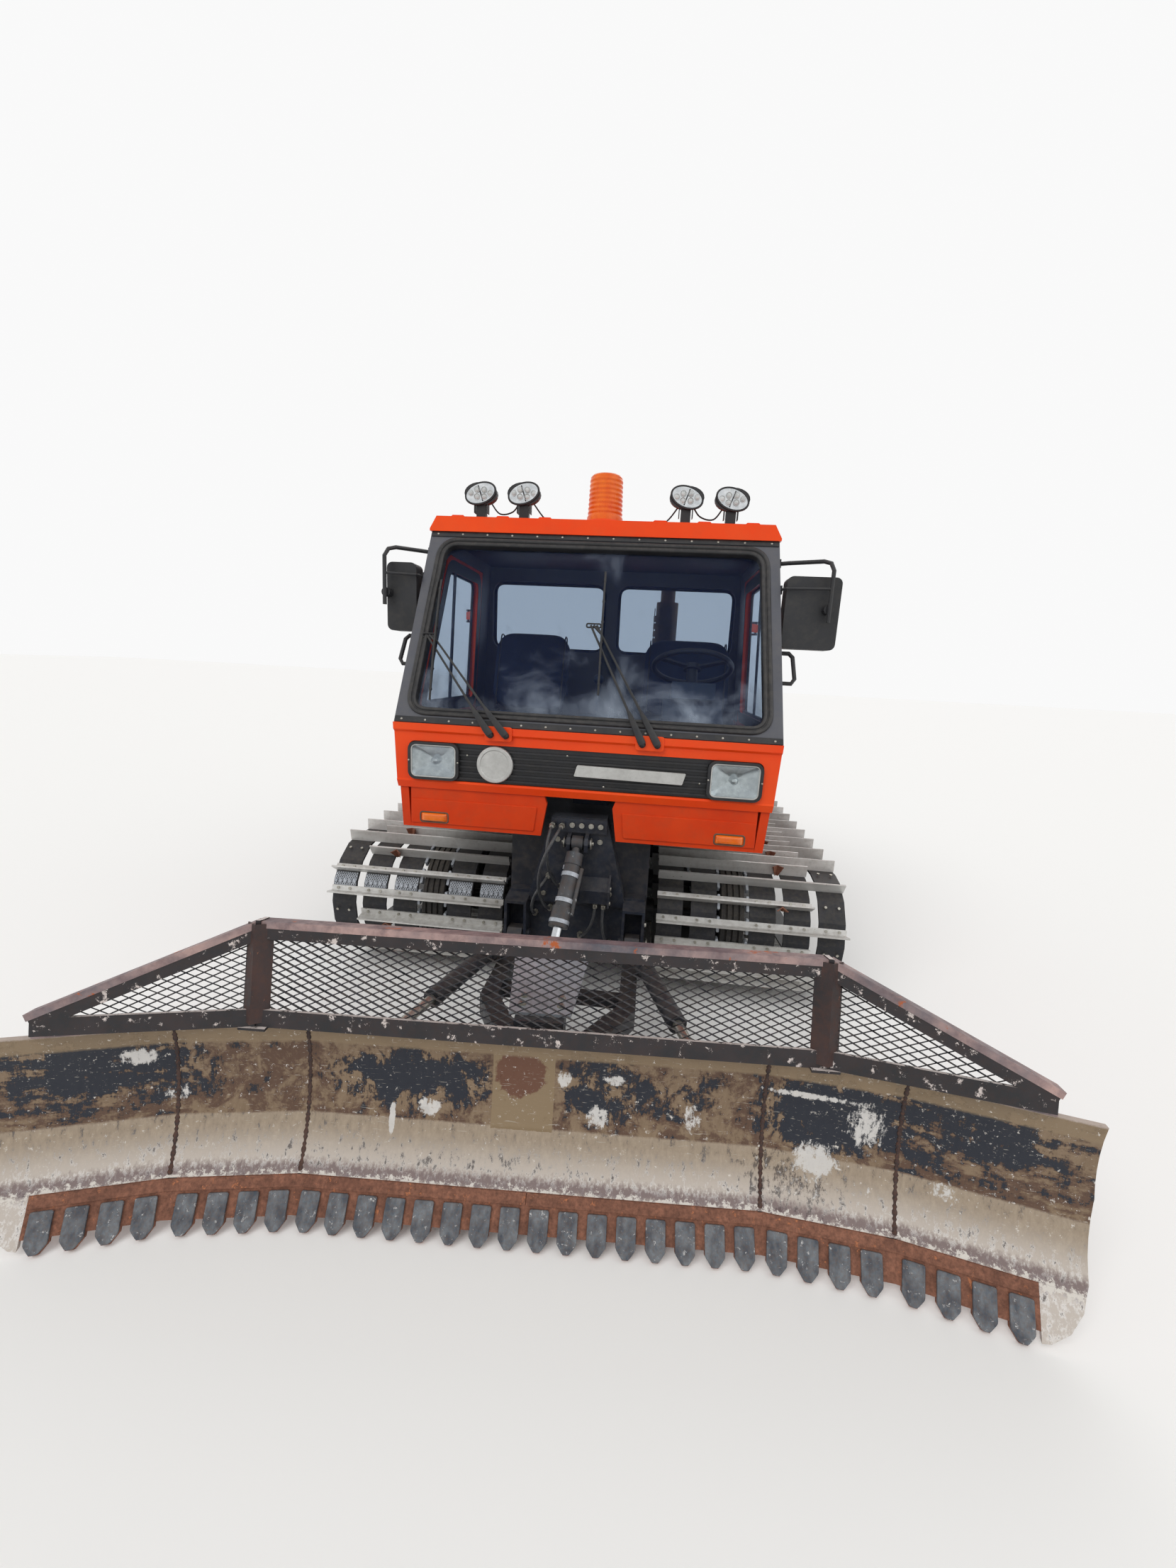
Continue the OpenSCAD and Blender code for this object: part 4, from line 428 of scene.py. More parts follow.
class Stage:
    """Pale floor, white surroundings, soft lamps and the photograph's camera."""

    camera_at = (0.2729, -2.5304 - DATUM * MM, 1.6208)
    yaw_pitch_roll = (0.0973, 0.1964, 0.0515)
    focal_px = 831.1
    frame_px = (1659, 2212)
    floor_half = 60000.0
    floor_z = -0.5

    def camera(self) -> None:
        """Place the camera by yaw, downward pitch and roll, with the photograph's focal length."""
        data = bpy.data.cameras.new("camera")
        cam = linked("camera", data)
        yaw, pitch, roll = np.degrees(self.yaw_pitch_roll)
        pose = move(*self.camera_at) @ turn("z", yaw) @ turn("x", 90 - pitch) @ turn("z", roll)
        cam.matrix_world = Matrix(pose.tolist())
        data.sensor_width = 36.0
        data.lens = self.focal_px / max(self.frame_px) * data.sensor_width
        data.clip_end = 200.0
        bpy.context.scene.camera = cam

    def sun(self, name: str, towards: Vec, strength: float, angle: float) -> Any:
        """Add a wide sun lamp that shines from a direction, and return it."""
        data = bpy.data.lights.new(name, "SUN")
        data.energy = strength
        data.angle = math.radians(angle)
        lamp = linked(name, data)
        lamp.matrix_world = Matrix(stand([[0, 0, 0]], towards)[0].tolist())
        return lamp

    def build(self) -> None:
        """Make the camera, the world, the lamps and the floor.

        The key is kept out of reflections, so that it doesn't blot the panes.
        """
        self.camera()
        bpy.context.scene.view_settings.view_transform = "Standard"
        world = bpy.data.worlds.new("surround")
        bpy.context.scene.world = world
        world.use_nodes = True
        tree = world.node_tree
        tree.nodes.clear()
        rays = add(tree, Kind.LIGHT_PATH)
        seen = add(tree, Kind.MATH, LARGER, Value=rays.outputs["Is Camera Ray"],
                   Value_001=rays.outputs["Is Transmission Ray"])
        seen = add(tree, Kind.MATH, LARGER, Value=seen, Value_001=rays.outputs["Is Glossy Ray"])
        level = add(tree, Kind.RANGE, Value=seen, To=(0.55, 0.95))
        back = add(tree, Kind.BACKGROUND, Color=(1, 1, 1, 1), Strength=level)
        add(tree, Kind.WORLD_OUTPUT, Surface=back)
        self.sun("key", (-0.55, -0.9, 1.1), 1.3, 40).visible_glossy = False
        self.sun("fill", (0.9, -0.5, 0.6), 0.45, 60)
        self.sun("rim", (0.2, 1.0, 0.9), 0.5, 50)
        mat, tree = blank("floor_paint")
        shader = add(tree, Kind.PRINCIPLED, Base_Color="#f3f2f0", Roughness=0.95)
        add(tree, Kind.OUTPUT, Surface=shader)
        half = self.floor_half
        corners = np.c_[rect(0, 0, 2 * half, 2 * half), np.full(4, self.floor_z)]
        floor = mesh_piece("floor", (corners, [np.arange(4)[None]]))
        floor.data.materials.append(mat)


def unit(vectors: Array) -> Array:
    """Scale vectors to length one."""
    return vectors / np.linalg.norm(vectors, axis=-1, keepdims=True)


def move(x: float, y: float, z: float) -> Array:
    """Return the matrix of a shift."""
    matrix = np.eye(4)
    matrix[:3, 3] = x, y, z
    return matrix


def turn(axis: str, degrees: float) -> Array:
    """Return the matrix of a turn about an axis."""
    cosine, sine = math.cos(math.radians(degrees)), math.sin(math.radians(degrees))
    i, j = {"x": (1, 2), "y": (2, 0), "z": (0, 1)}[axis]
    matrix = np.eye(4)
    matrix[i, i] = matrix[j, j] = cosine
    matrix[i, j], matrix[j, i] = -sine, sine
    return matrix


def stand(places: Array, direction: Vec) -> Array:
    """Return a matrix for each place that turns Z to one direction.

    Args:
        places: Rows of points.
        direction: Where Z turns to.

    Returns:
        One 4 by 4 matrix for each row.
    """
    places = np.atleast_2d(np.asarray(places, float))
    lift = unit(np.asarray(direction, float))
    side = unit(np.cross(lift, [0.31, 0.17, 0.93] if abs(lift[2]) < 0.9 else [0.0, 1.0, 0.0]))
    out = np.tile(np.eye(4), (len(places), 1, 1))
    out[:, :3, 0], out[:, :3, 1], out[:, :3, 2], out[:, :3, 3] = side, np.cross(lift, side), lift, places
    return out


def put(matrix: Array, part: Part) -> Part:
    """Move a part by a matrix."""
    return part[0] @ matrix[:3, :3].T + matrix[:3, 3], part[1]


def merge(parts: Sequence[Part]) -> Part:
    """Join parts into one, with the counts in their faces shifted."""
    starts = np.cumsum([0] + [len(p[0]) for p in parts])
    return np.concatenate([p[0] for p in parts]), [f + s for p, s in zip(parts, starts) for f in p[1]]


def copies(part: Part, matrices: Array) -> Part:
    """Repeat a part at each of many matrices, as one product of arrays."""
    matrices = np.asarray(matrices)
    points = np.einsum("kij,nj->kni", matrices[:, :3, :3], part[0]) + matrices[:, None, :3, 3]
    shift = (np.arange(len(matrices)) * len(part[0]))[:, None, None]
    return points.reshape(-1, 3), [(f[None] + shift).reshape(-1, f.shape[1]) for f in part[1]]


def mirrored(part: Part) -> Part:
    """Return a part's mirror image across X = 0."""
    return part[0] * [-1, 1, 1], [f[:, ::-1] for f in part[1]]


def both(part: Part) -> Part:
    """Join a part and its mirror image."""
    return merge([part, mirrored(part)])


def quads(rows: int, columns: int, wrap_u: bool, wrap_v: bool) -> Array:
    """Number the quads of a grid of points, row by row."""
    i = np.arange(rows if wrap_u else rows - 1)
    j = np.arange(columns if wrap_v else columns - 1)
    ii, jj = (a.ravel() for a in np.meshgrid(i, j, indexing="ij"))
    below, beside = (ii + 1) % rows * columns, (jj + 1) % columns
    return np.stack([ii * columns + jj, below + jj, below + beside, ii * columns + beside], -1)


def grid(surface: Callable[[Array, Array], Array], rows: int, columns: int) -> Part:
    """Sample a surface of two parameters on a grid.

    Args:
        surface: Turns arrays of u and v, from 0 to 1, into points.
        rows: Number of samples along u.
        columns: Number of samples along v.

    Returns:
        The part.
    """
    u, v = np.meshgrid(np.linspace(0, 1, rows), np.linspace(0, 1, columns), indexing="ij")
    return surface(u, v).reshape(-1, 3), [quads(rows, columns, False, False)]


def circle(radius: float, sides: int = 12) -> Array:
    """Return the outline of a circle."""
    a = np.linspace(0, 2 * np.pi, sides, endpoint=False)
    return radius * np.stack([np.cos(a), np.sin(a)], -1)


def rounded(corners: Any, radius: float, steps: int = 6) -> Array:
    """Round each corner of a closed outline by the parabola between two points a radius away from it."""
    c = np.asarray(corners, float)
    a = (c + unit(np.roll(c, 1, 0) - c) * radius)[:, None]
    b = (c + unit(np.roll(c, -1, 0) - c) * radius)[:, None]
    t = np.linspace(0, 1, steps + 1)[None, :, None]
    return ((1 - t) ** 2 * a + 2 * t * (1 - t) * c[:, None] + t**2 * b).reshape(-1, 2)


def rect(x: float, y: float, w: float, h: float) -> Array:
    """Return a rectangle's corners by its middle and size."""
    return np.array([x, y]) + np.array([[-w, -h], [w, -h], [w, h], [-w, h]]) / 2


def prism(outline: Any, low: float, high: float) -> Part:
    """Carry an outline of X and Y from one height to another, and close it."""
    o = np.asarray(outline, float)
    n = len(o)
    points = np.concatenate([np.c_[o, np.full(n, low)], np.c_[o, np.full(n, high)]])
    return points, [quads(2, n, False, True), np.arange(n)[None, ::-1], np.arange(n, 2 * n)[None]]


def skin(rings: Array, start: bool = True, end: bool = True) -> Part:
    """Join rows of closed rings into a tube, and close its start and its end where asked."""
    m, n = rings.shape[:2]
    caps = [np.arange(n)[None]] * start + [np.arange((m - 1) * n, m * n)[None]] * end
    return rings.reshape(-1, 3), [quads(m, n, False, True), *caps]


def lathe(profile: Any, sides: int = 32) -> Part:
    """Turn a profile of radius and height about Z."""
    p = np.asarray(profile, float)
    x, y = circle(1, sides).T
    rings = np.stack([p[:, :1] * x, p[:, :1] * y, np.repeat(p[:, 1:], sides, 1)], -1)
    return skin(rings, False, False)


def sweep(path: Any, outline: Array, up: Vec = (0, 0, 1), closed: bool = False) -> Part:
    """Carry an outline along a path.

    The tangent is the difference of the neighbours; the side is the tangent crossed with up, and the
    lift is the side crossed with the tangent. The outline's values go along the side and the lift.

    Args:
        path: Points to follow.
        outline: Outline of two values, closed.
        up: Direction that the lift stays close to.
        closed: Whether the path returns to its start.

    Returns:
        The part, with its ends closed where the path is open.
    """
    p, o = np.asarray(path, float), np.asarray(outline, float)
    ahead, behind = np.roll(p, -1, 0), np.roll(p, 1, 0)
    if not closed:
        ahead[-1], behind[0] = p[-1], p[0]
    tangent = unit(ahead - behind)
    side = unit(np.cross(tangent, np.broadcast_to(up, p.shape)))
    lift = np.cross(side, tangent)
    points = p[:, None] + o[None, :, :1] * side[:, None] + o[None, :, 1:] * lift[:, None]
    n, m = len(o), len(p)
    caps = [] if closed else [np.arange(n)[None], np.arange((m - 1) * n, m * n)[None]]
    return points.reshape(-1, 3), [quads(m, n, closed, True), *caps]


def upright(outline: Array, y: float) -> Array:
    """Stand an outline of X and Z at a depth."""
    return np.insert(outline, 1, y, 1)


def curve(points: Any, steps: int = 6) -> Array:
    """Pass a smooth curve through points: the cubic whose slopes are half the neighbours' difference."""
    p = np.asarray(points, float)
    q = np.concatenate([2 * p[:1] - p[1:2], p, 2 * p[-1:] - p[-2:-1]])
    t = np.linspace(0, 1, steps, endpoint=False)[None, :, None]
    a, b, c, d = (q[i : len(q) - 3 + i][:, None] for i in range(4))
    out = 0.5 * (2 * b + (c - a) * t + (2 * a - 5 * b + 4 * c - d) * t**2 + (3 * b - a - 3 * c + d) * t**3)
    return np.concatenate([out.reshape(-1, p.shape[1]), p[-1:]])


def hexagon_bolt(radius: float, height: float) -> Part:
    """Return a bolt's head on its washer, with its underside at Z = 0."""
    washer = height * 0.25
    return merge([prism(circle(radius * 1.35), 0, washer), prism(circle(radius, 6), washer, height)])


def linked(name: str, data: Any) -> Any:
    """Make an object of some data, link it to the scene and return it."""
    obj = bpy.data.objects.new(name, data)
    bpy.context.scene.collection.objects.link(obj)
    return obj


def mesh_piece(name: str, part: Part, smooth: float = 30.0) -> Any:
    """Put a part into a new object at the origin, in metres.

    Doubles are merged and faces turned outwards, so that seams and poles are closed.

    Args:
        name: The object's name.
        part: Points and faces, in millimetres from the datum.
        smooth: Angle in degrees below which an edge shades smoothly.

    Returns:
        The new object.
    """
    mesh = bpy.data.meshes.new(name)
    rows = [row for block in part[1] for row in block.tolist()]
    mesh.from_pydata(((part[0] - [0, DATUM, 0]) * MM).tolist(), [], rows)
    form = bmesh.new()
    form.from_mesh(mesh)
    bmesh.ops.remove_doubles(form, verts=form.verts, dist=2e-6)
    bmesh.ops.recalc_face_normals(form, faces=form.faces)
    form.to_mesh(mesh)
    form.free()
    mesh.shade_smooth()
    mesh.set_sharp_from_angle(angle=math.radians(smooth))
    mesh.update()
    return linked(name, mesh)


FINISHES: dict[str, Any] = {
    # Baked enamel on steel sheet, sprayed: bright orange with a soft gloss, faded and dusty
    "orange": Finish("orange_enamel", "#e8410c", "#ee5016", 420, 0.8, (0.32, 0.46), 3.0, 0.05, dirt="#a85c38",
                     dirt_mix=0.18, shine=0.28),
    # The same enamel low down, its colour painted darker as shade; rougher from snow, with road film
    "valance": Finish("dulled_orange_enamel", "#cc380f", "#d84416", 260, 0.8, (0.4, 0.56), 3.0, 0.06,
                      dirt="#8d4c32", dirt_mix=0.3, shine=0.22),
    # Dark grey textured enamel on the cab's frame: even and satin
    "anthracite": Finish("grey_enamel", "#4a4b52", "#54565d", 300, 0.8, (0.45, 0.6), 2.5, 0.06,
                         dirt="#77736c", dirt_mix=0.25),
    # Black chassis paint, brushed on: satin with dust and a few chips to the primer
    "chassis": Finish("chassis_paint", "#1b1d24", "#282b33", 160, 0.9, (0.4, 0.62), 3.0, 0.1, dirt="#5d5348",
                      dirt_mix=0.45, chip="#6d5a4a", chip_level=0.68, chip_mm=28),
    # Navy chassis paint of the tower: satin, dusty, scuffed to grey
    "tower": Finish("navy_chassis_paint", "#181b25", "#242a36", 120, 0.9, (0.4, 0.6), 3.0, 0.1,
                    dirt="#5f5a54", dirt_mix=0.4, chip="#8d8983", chip_level=0.7, chip_mm=14),
    # Old paint on the screen's angle irons: dark, with pink-white flakes and rust where it faces up
    "flaking": Finish("flaking_screen_paint", "#18181c", "#2b2426", 90, 0.9, (0.45, 0.7), 2.5, 0.2,
                      dirt="#4d3a31", dirt_mix=0.3, chip="#c4b9b4", chip_level=0.63, chip_mm=32,
                      up_chip=0.22),
    # Rubbed pale paint on top of the screen's upper edges, peeling to rust
    "pale_edge": Finish("rubbed_pale_paint", "#b89890", "#54555d", 230, 1.0, (0.5, 0.7), 2.5, 0.25,
                        dirt="#544449", dirt_mix=0.9, chip="#a65426", chip_level=0.61, chip_mm=90),
    # Moulded ABS: black, fine leather grain, greyed by the sun
    "plastic": Finish("moulded_abs", "#191a1d", "#242529", 200, 0.7, (0.42, 0.58), 1.2, 0.08, dirt="#57524b",
                      dirt_mix=0.3),
    # Extruded rubber profile: black with a grey shine along its ridges
    "seal": Finish("extruded_rubber", "#1d1d1f", "#2c2c2e", 150, 0.7, (0.38, 0.5), 2.0, 0.05, dirt="#6b665f",
                   dirt_mix=0.3),
    # Extruded aluminium bar, ground bright by gravel and dull between
    "aluminium": Finish("extruded_aluminium", "#dededb", "#b3b1ad", 120, 1.0, (0.34, 0.5), 2.0, 0.12,
                        metallic=0.35, dirt="#7c7266", dirt_mix=0.45, chip="#67503e", chip_level=0.64,
                        chip_mm=26, stretch=(0.15, 1, 1)),
    # Reinforced belt rubber, calendered: black, dusty, finely pitted
    "belt": Finish("belt_rubber", "#16181d", "#22232a", 90, 0.9, (0.5, 0.7), 1.6, 0.2, dirt="#5d584f",
                   dirt_mix=0.42),
    # Smooth rubber cover of a hydraulic hose, wrapped: dark grey with a soft shine
    "hose": Finish("wrapped_hose_cover", "#2d2f33", "#3c3e42", 60, 0.8, (0.3, 0.45), 2.0, 0.05,
                   dirt="#7b776f", dirt_mix=0.35),
    # Tyre rubber, moulded: black with a dry grey bloom
    "tyre": Finish("tyre_rubber", "#1a1a1b", "#2b2a29", 70, 0.9, (0.65, 0.82), 1.8, 0.2, dirt="#655d52",
                   dirt_mix=0.45),
    # Ground slate-grey tooth faces of hardened steel, pitted
    "slate": Finish("hardened_steel_face", "#3b444f", "#737a80", 30, 1.0, (0.36, 0.55), 2.0, 0.25,
                    metallic=0.2, dirt="#665244", dirt_mix=0.6, chip="#b4b3b2", chip_level=0.6, chip_mm=16,
                    stretch=(1, 1, 0.35)),
    # Cast steel block with a bare, oily surface
    "plate": Finish("bare_cast_steel", "#7d776d", "#625b50", 180, 1.0, (0.38, 0.55), 2.2, 0.15, metallic=0.6,
                    dirt="#6f5a45", dirt_mix=0.5),
    # Hot rolled steel left to rust: orange over dark scale
    "rust": Finish("rusted_steel", "#744c3b", "#92624d", 50, 1.0, (0.7, 0.88), 2.0, 0.4, dirt="#3f2b24",
                   dirt_mix=0.8, chip="#ab6c4a", chip_level=0.6, chip_mm=24),
    # Weld bead laid by hand: dark scale, rusting
    "weld": Finish("weld_bead", "#41332f", "#241e20", 24, 1.0, (0.5, 0.75), 2.0, 0.4, metallic=0.2,
                   dirt="#6e4531", dirt_mix=0.7),
    # Black paint on the screen's folded posts, rusting through
    "post": Finish("rusting_post_paint", "#1b191c", "#3d2a27", 130, 1.0, (0.5, 0.75), 2.5, 0.25,
                   dirt="#5c3d32", dirt_mix=0.6, chip="#8d5a40", chip_level=0.64, chip_mm=60, stretch=(1,
                   1, 0.5)),
    # Hot-dip galvanised sheet: pale grey spangle
    "galvanised": Finish("galvanised_sheet", "#bcc2ca", "#9ca2aa", 40, 1.0, (0.36, 0.52), 2.0, 0.08,
                         metallic=0.4, dirt="#858482", dirt_mix=0.4),
    # Zinc-plated fasteners and hose fittings: bright, a little yellow
    "zinc": Finish("zinc_plate", "#c3c1b8", "#9d9a90", 30, 1.0, (0.25, 0.4), 2.0, 0.05, metallic=0.85,
                   dirt="#6a5d4c", dirt_mix=0.4),
    # Hard chromed rod, ground: bright and smooth
    "chrome": Finish("hard_chrome", "#c9ccd0", "#b8bbc0", 90, 0.6, (0.12, 0.22), 3.0, 0.01, metallic=1.0,
                     dirt="#7a7167", dirt_mix=0.2),
    # Grey cylinder enamel, flaked
    "cylinder": Finish("grey_cylinder_paint", "#474b50", "#2c2a2a", 130, 1.0, (0.35, 0.5), 2.5, 0.1,
                       metallic=0.2, dirt="#5b4636", dirt_mix=0.5, chip="#a2a4a6", chip_level=0.63,
                       chip_mm=26),
    # Woven seat cloth, dark blue grey; the yarn is drawn coarser than it is so that it shows
    "cloth": Finish("woven_seat_cloth", "#26324a", "#30405c", 60, 0.7, (0.85, 0.95), 2.5, 0.5, dirt="#6a665e",
                    dirt_mix=0.12, rib_mm=4.0),
    # Moulded dash plastic, blue grey
    "dash": Finish("moulded_dash", "#29323f", "#333d4c", 200, 0.7, (0.5, 0.62), 1.2, 0.1, dirt="#5a564e",
                   dirt_mix=0.2),
    # Amber acrylic, moulded: saturated and glossy
    "amber": Finish("amber_acrylic", "#e8650c", "#f58a22", 60, 0.6, (0.12, 0.2), 4.0, 0.05, dirt="#9a5a2c",
                    dirt_mix=0.15, coat=0.5, rib_mm=6.0),
    # Orange polycarbonate dome, moulded with rings
    "dome": Finish("orange_polycarbonate", "#d95206", "#ec7413", 80, 0.8, (0.24, 0.36), 4.0, 0.03,
                   dirt="#a85a20", dirt_mix=0.25, shine=0.4),
    # Red acrylic, moulded
    "red": Finish("red_acrylic", "#a80f12", "#c01a1c", 60, 0.6, (0.12, 0.2), 4.0, 0.05, coat=0.5, rib_mm=5.0),
    # Vacuum-metallised reflector: mirror bright with a few blots
    "reflector": Finish("metallised_reflector", "#dfe2e4", "#b4b9bd", 30, 0.8, (0.16, 0.28), 9.0, 0.25,
                        metallic=1.0, dirt="#8b8c8c", dirt_mix=0.3),
    # Clear lamp emitter behind its lens: pale, glossy
    "emitter": Finish("lamp_emitter", "#c9cccb", "#a5a9a9", 20, 0.8, (0.1, 0.2), 4.0, 0.05),
    # Heat-browned exhaust steel
    "exhaust": Finish("heat_browned_steel", "#5b5047", "#7a6450", 90, 1.0, (0.5, 0.68), 2.0, 0.15,
                      metallic=0.4, dirt="#7a4c2c", dirt_mix=0.5),
    # Anodised aluminium plate, blank: matt silver
    "badge": Finish("anodised_plate", "#c6c6c3", "#b3b3b0", 60, 0.8, (0.32, 0.44), 1.2, 0.05, metallic=0.5,
                    dirt="#8b8780", dirt_mix=0.3),
    # Rolled tread plate painted black, with a raised lozenge every 30 mm
    "tread": Finish("painted_tread_plate", "#202227", "#2d2f34", 160, 0.9, (0.4, 0.6), 2.0, 0.3,
                    dirt="#6d6152", dirt_mix=0.55, chip="#8b8781", chip_level=0.6, chip_mm=35, rib_mm=30.0,
                    rib_axis="DIAGONAL"),
    # Moldboard of rolled steel, scraped by snow and gravel
    "board": BoardFinish(),
    # Laminated float glass: faint blue-green tint, sharp reflection, and near its foot a pale haze that is a
    # painted sky reflection
    "glass": ClearFinish("laminated_glass", "#eaf0f6", "#12204a", 0.88, 0.06, 0.3),
    # Pressed lamp glass: clear, with a soft gloss and a faint pale haze that is a painted sky reflection
    "lens": ClearFinish("pressed_lamp_glass", "#eef2f2", "#9aa3a6", 0.84, 0.08),
}

NODE_FINISH = {
    "valance": ("lower_panels",),
    "orange": ("cab_nose", "roof", "door_left", "door_right", "engine_hood"),
    "anthracite": ("windscreen_frame", "side_frames", "rear_wall"),
    "chassis": ("tub", "axles", "rims", "cab_floor", "engine_box", "deck_rails", "rear_hitch", "push_frame",
                "blade_carrier", "angle_barrel_left", "angle_barrel_right", "seat_bases", "screen_mesh"),
    "tower": ("front_tower",),
    "tread": ("deck",),
    "flaking": ("screen_bars",),
    "plastic": ("grille", "work_lamps", "wipers", "mirrors", "mirror_arms", "grab_handles", "steering_wheel",
                "sprockets"),
    "aluminium": ("track_bars",),
    "belt": ("belts",),
    "hose": ("hoses",),
    "tyre": ("tyres",),
    "board": ("moldboard",),
    "plate": ("engine",),
    "rust": ("cutting_edge",),
    "galvanised": ("step_plate",),
    "chrome": ("lift_rod",),
    "zinc": ("angle_rod_left", "angle_rod_right"),
    "cylinder": ("lift_barrel",),
    "cloth": ("seat_cushions",),
    "dash": ("console",),
    "amber": ("indicators",),
    "dome": ("beacon",),
    "red": ("tail_lamps",),
    "reflector": ("headlamps",),
    "exhaust": ("exhaust_stack",),
    "glass": ("cab_glass", "door_glass_left", "door_glass_right"),
}


class Workshop:
    """Makes each finish once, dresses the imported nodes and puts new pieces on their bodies."""

    def __init__(self, nodes: dict[str, Any]) -> None:
        """Start with nothing made, and dress the nodes."""
        self.made: dict[str, Any] = {}
        for key, names in NODE_FINISH.items():
            for name in names:
                nodes[name].data.materials.clear()
                nodes[name].data.materials.append(self.finish(key))

    def finish(self, key: str) -> Any:
        """Return the material of a key, making it on first use."""
        if key not in self.made:
            self.made[key] = FINISHES[key].make()
        return self.made[key]

    def fit(self, name: str, part: Part, finish: str, body: Body = Body.VEHICLE, bevel: float = 0.0,
            smooth: float = 30.0, stands_for: tuple[str, ...] = ()) -> Any:
        """Make a piece, dress it and put it on its body.

        Args:
            name: Name of the piece.
            part: Points and faces, in millimetres.
            finish: Key of its finish.
            body: Body that it rides on.
            bevel: Width of its edges' rounding.
            smooth: Angle below which an edge shades smoothly.
            stands_for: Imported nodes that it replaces.

        Returns:
            The new object.
        """
        piece = mesh_piece(name, part, smooth)
        piece.data.materials.append(self.finish(finish))
        if bevel:
            edge = piece.modifiers.new("edge", "BEVEL")
            edge.width, edge.segments, edge.limit_method = bevel * MM, 2, "ANGLE"
        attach(piece, body.value)
        if stands_for:
            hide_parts(*stands_for)
        log.info("%s: %d faces on %s", name, len(piece.data.polygons), body.value)
        return piece


@dataclass
class Blade:
    """Moldboard dressing, tooth faces, seams and the mesh screen."""

    king_back: float = 350.0
    yaw: float = 3.55
    tip_y: float = -1187.0
    joints: Vec = (0.0, 665.0, 1010.0)
    sweeps: Vec = (0.0, 8.0, 15.5)
    teeth: tuple[int, int, int] = (8, 4, 4)
    pitch: float = 83.0
    tooth_w: float = 56.0
    edge_slope: float = 55.0
    board_t: float = 12.0
    arc_y: float = -381.0
    arc_z: float = 444.57
    arc_r: float = 563.15
    arc_from: float = -35.0
    arc_to: float = 9.756
    screen_x: float = 820.0
    screen_foot: Vec = (150.0, 572.0)
    screen_back: float = 50.0
    screen_h: float = 250.0
    tip: Vec = (1360.0, 15.0, 586.0)
    cell: Vec = (47.0, 22.0)
    strand: Vec = (3.4, 3.0)

    def frame(self) -> Array:
        """Return the blade's own frame: X along it, Y back from the teeth's tips."""
        yaw = math.radians(self.yaw)
        return move(self.king_back * math.sin(yaw), self.tip_y, 0) @ turn("z", self.yaw)

    def reach(self, i: int) -> float:
        """Return how far section i starts ahead of the middle."""
        return 0.0 if i < 2 else (self.joints[2] - self.joints[1]) * math.tan(math.radians(self.sweeps[1]))

    def section(self, i: int) -> Array:
        """Return the frame of section i at its start."""
        return move(self.joints[i], -self.reach(i), 0) @ turn("z", -self.sweeps[i])

    def slope(self, i: int) -> Array:
        """Return the frame of section i's cutting edge: X along it, Y up its slope and Z off its back."""
        lean = math.radians(self.edge_slope)
        return (self.section(i) @ move(0, 0, self.board_t * math.cos(lean)) @ turn("x", self.edge_slope)
                @ move(0, 0, -self.board_t))

    def arc(self, out: float, n: int, start: float = 0.0, end: float = 1.0) -> tuple[Array, Array]:
        """Return Y and Z of points along the board's face, moved forward by a distance."""
        a = np.radians(self.arc_from + (self.arc_to - self.arc_from) * np.linspace(start, end, n))
        return self.arc_y + (self.arc_r - out) * np.cos(a), self.arc_z + (self.arc_r - out) * np.sin(a)

    def tooth_faces(self) -> Part:
        """Return the raised faces: tooth outlines at each pitch of each section, on the sloping edge."""
        h = self.tooth_w / 2
        face = prism(rounded([[-9, 1], [9, 1], [h, 25], [h, 101], [-h, 101], [-h, 25]], 5, 2), 12.5, 20.0)
        spots = [self.slope(i) @ move(self.pitch * (k + 0.5), 0, 0)
                 for i in range(3) for k in range(self.teeth[i])]
        return put(self.frame(), both(copies(face, spots)))

    def joint_plates(self) -> Part:
        """Return the plates let in between the edge's sections, wedges that widen upwards, and their bars."""
        out = []
        for i in (0, 1):
            start = self.pitch * self.teeth[i] - 2
            end = (self.joints[i + 1] - self.joints[i]) / math.cos(math.radians(self.sweeps[i]))
            for low, high in ((38, 12.3), (108, 15.6)):
                wedge = [[start, low], [end + 1 + low * 0.1, low], [end + 15, 138], [start, 138]]
                out.append(put(self.slope(i), prism(wedge, 1, high)))
        return put(self.frame(), both(merge(out)))

    def seams(self) -> Part:
        """Return the weld beads: wavy tubes along the board's face at each joint between sections."""
        out = []
        for i, spread in ((1, 4.0), (2, 3.75)):
            y, z = self.arc(0.5, 70, 0.02, 0.985)
            lean = math.radians((self.sweeps[i] + self.sweeps[i - 1]) / 2)
            far = y / math.cos(math.radians(spread))
            x = self.joints[i] + far * math.sin(lean)
            middle = np.stack([x, -self.reach(i) + far * math.cos(lean), z], -1)
            girth = 5.5 + 1.8 * np.sin(np.arange(70) * 2.4) + 1.4 * np.sin(np.arange(70) * 0.9)
            ring = circle(1, 10) * [1, 0.55]
            side = np.array([math.cos(lean), -math.sin(lean), 0.0])
            fwd = np.array([-math.sin(lean), -math.cos(lean), 0.0])
            around = ring[None, :, :1] * side + ring[None, :, 1:] * fwd
            out.append(skin(middle[:, None] + girth[:, None, None] * around))
        return put(self.frame(), both(merge(out)))

    def screen_frame(self) -> Array:
        """Return the frame of the screen's middle plane."""
        lean = math.degrees(math.atan2(self.screen_h, self.screen_back))
        return move(0, *self.screen_foot) @ turn("x", lean)

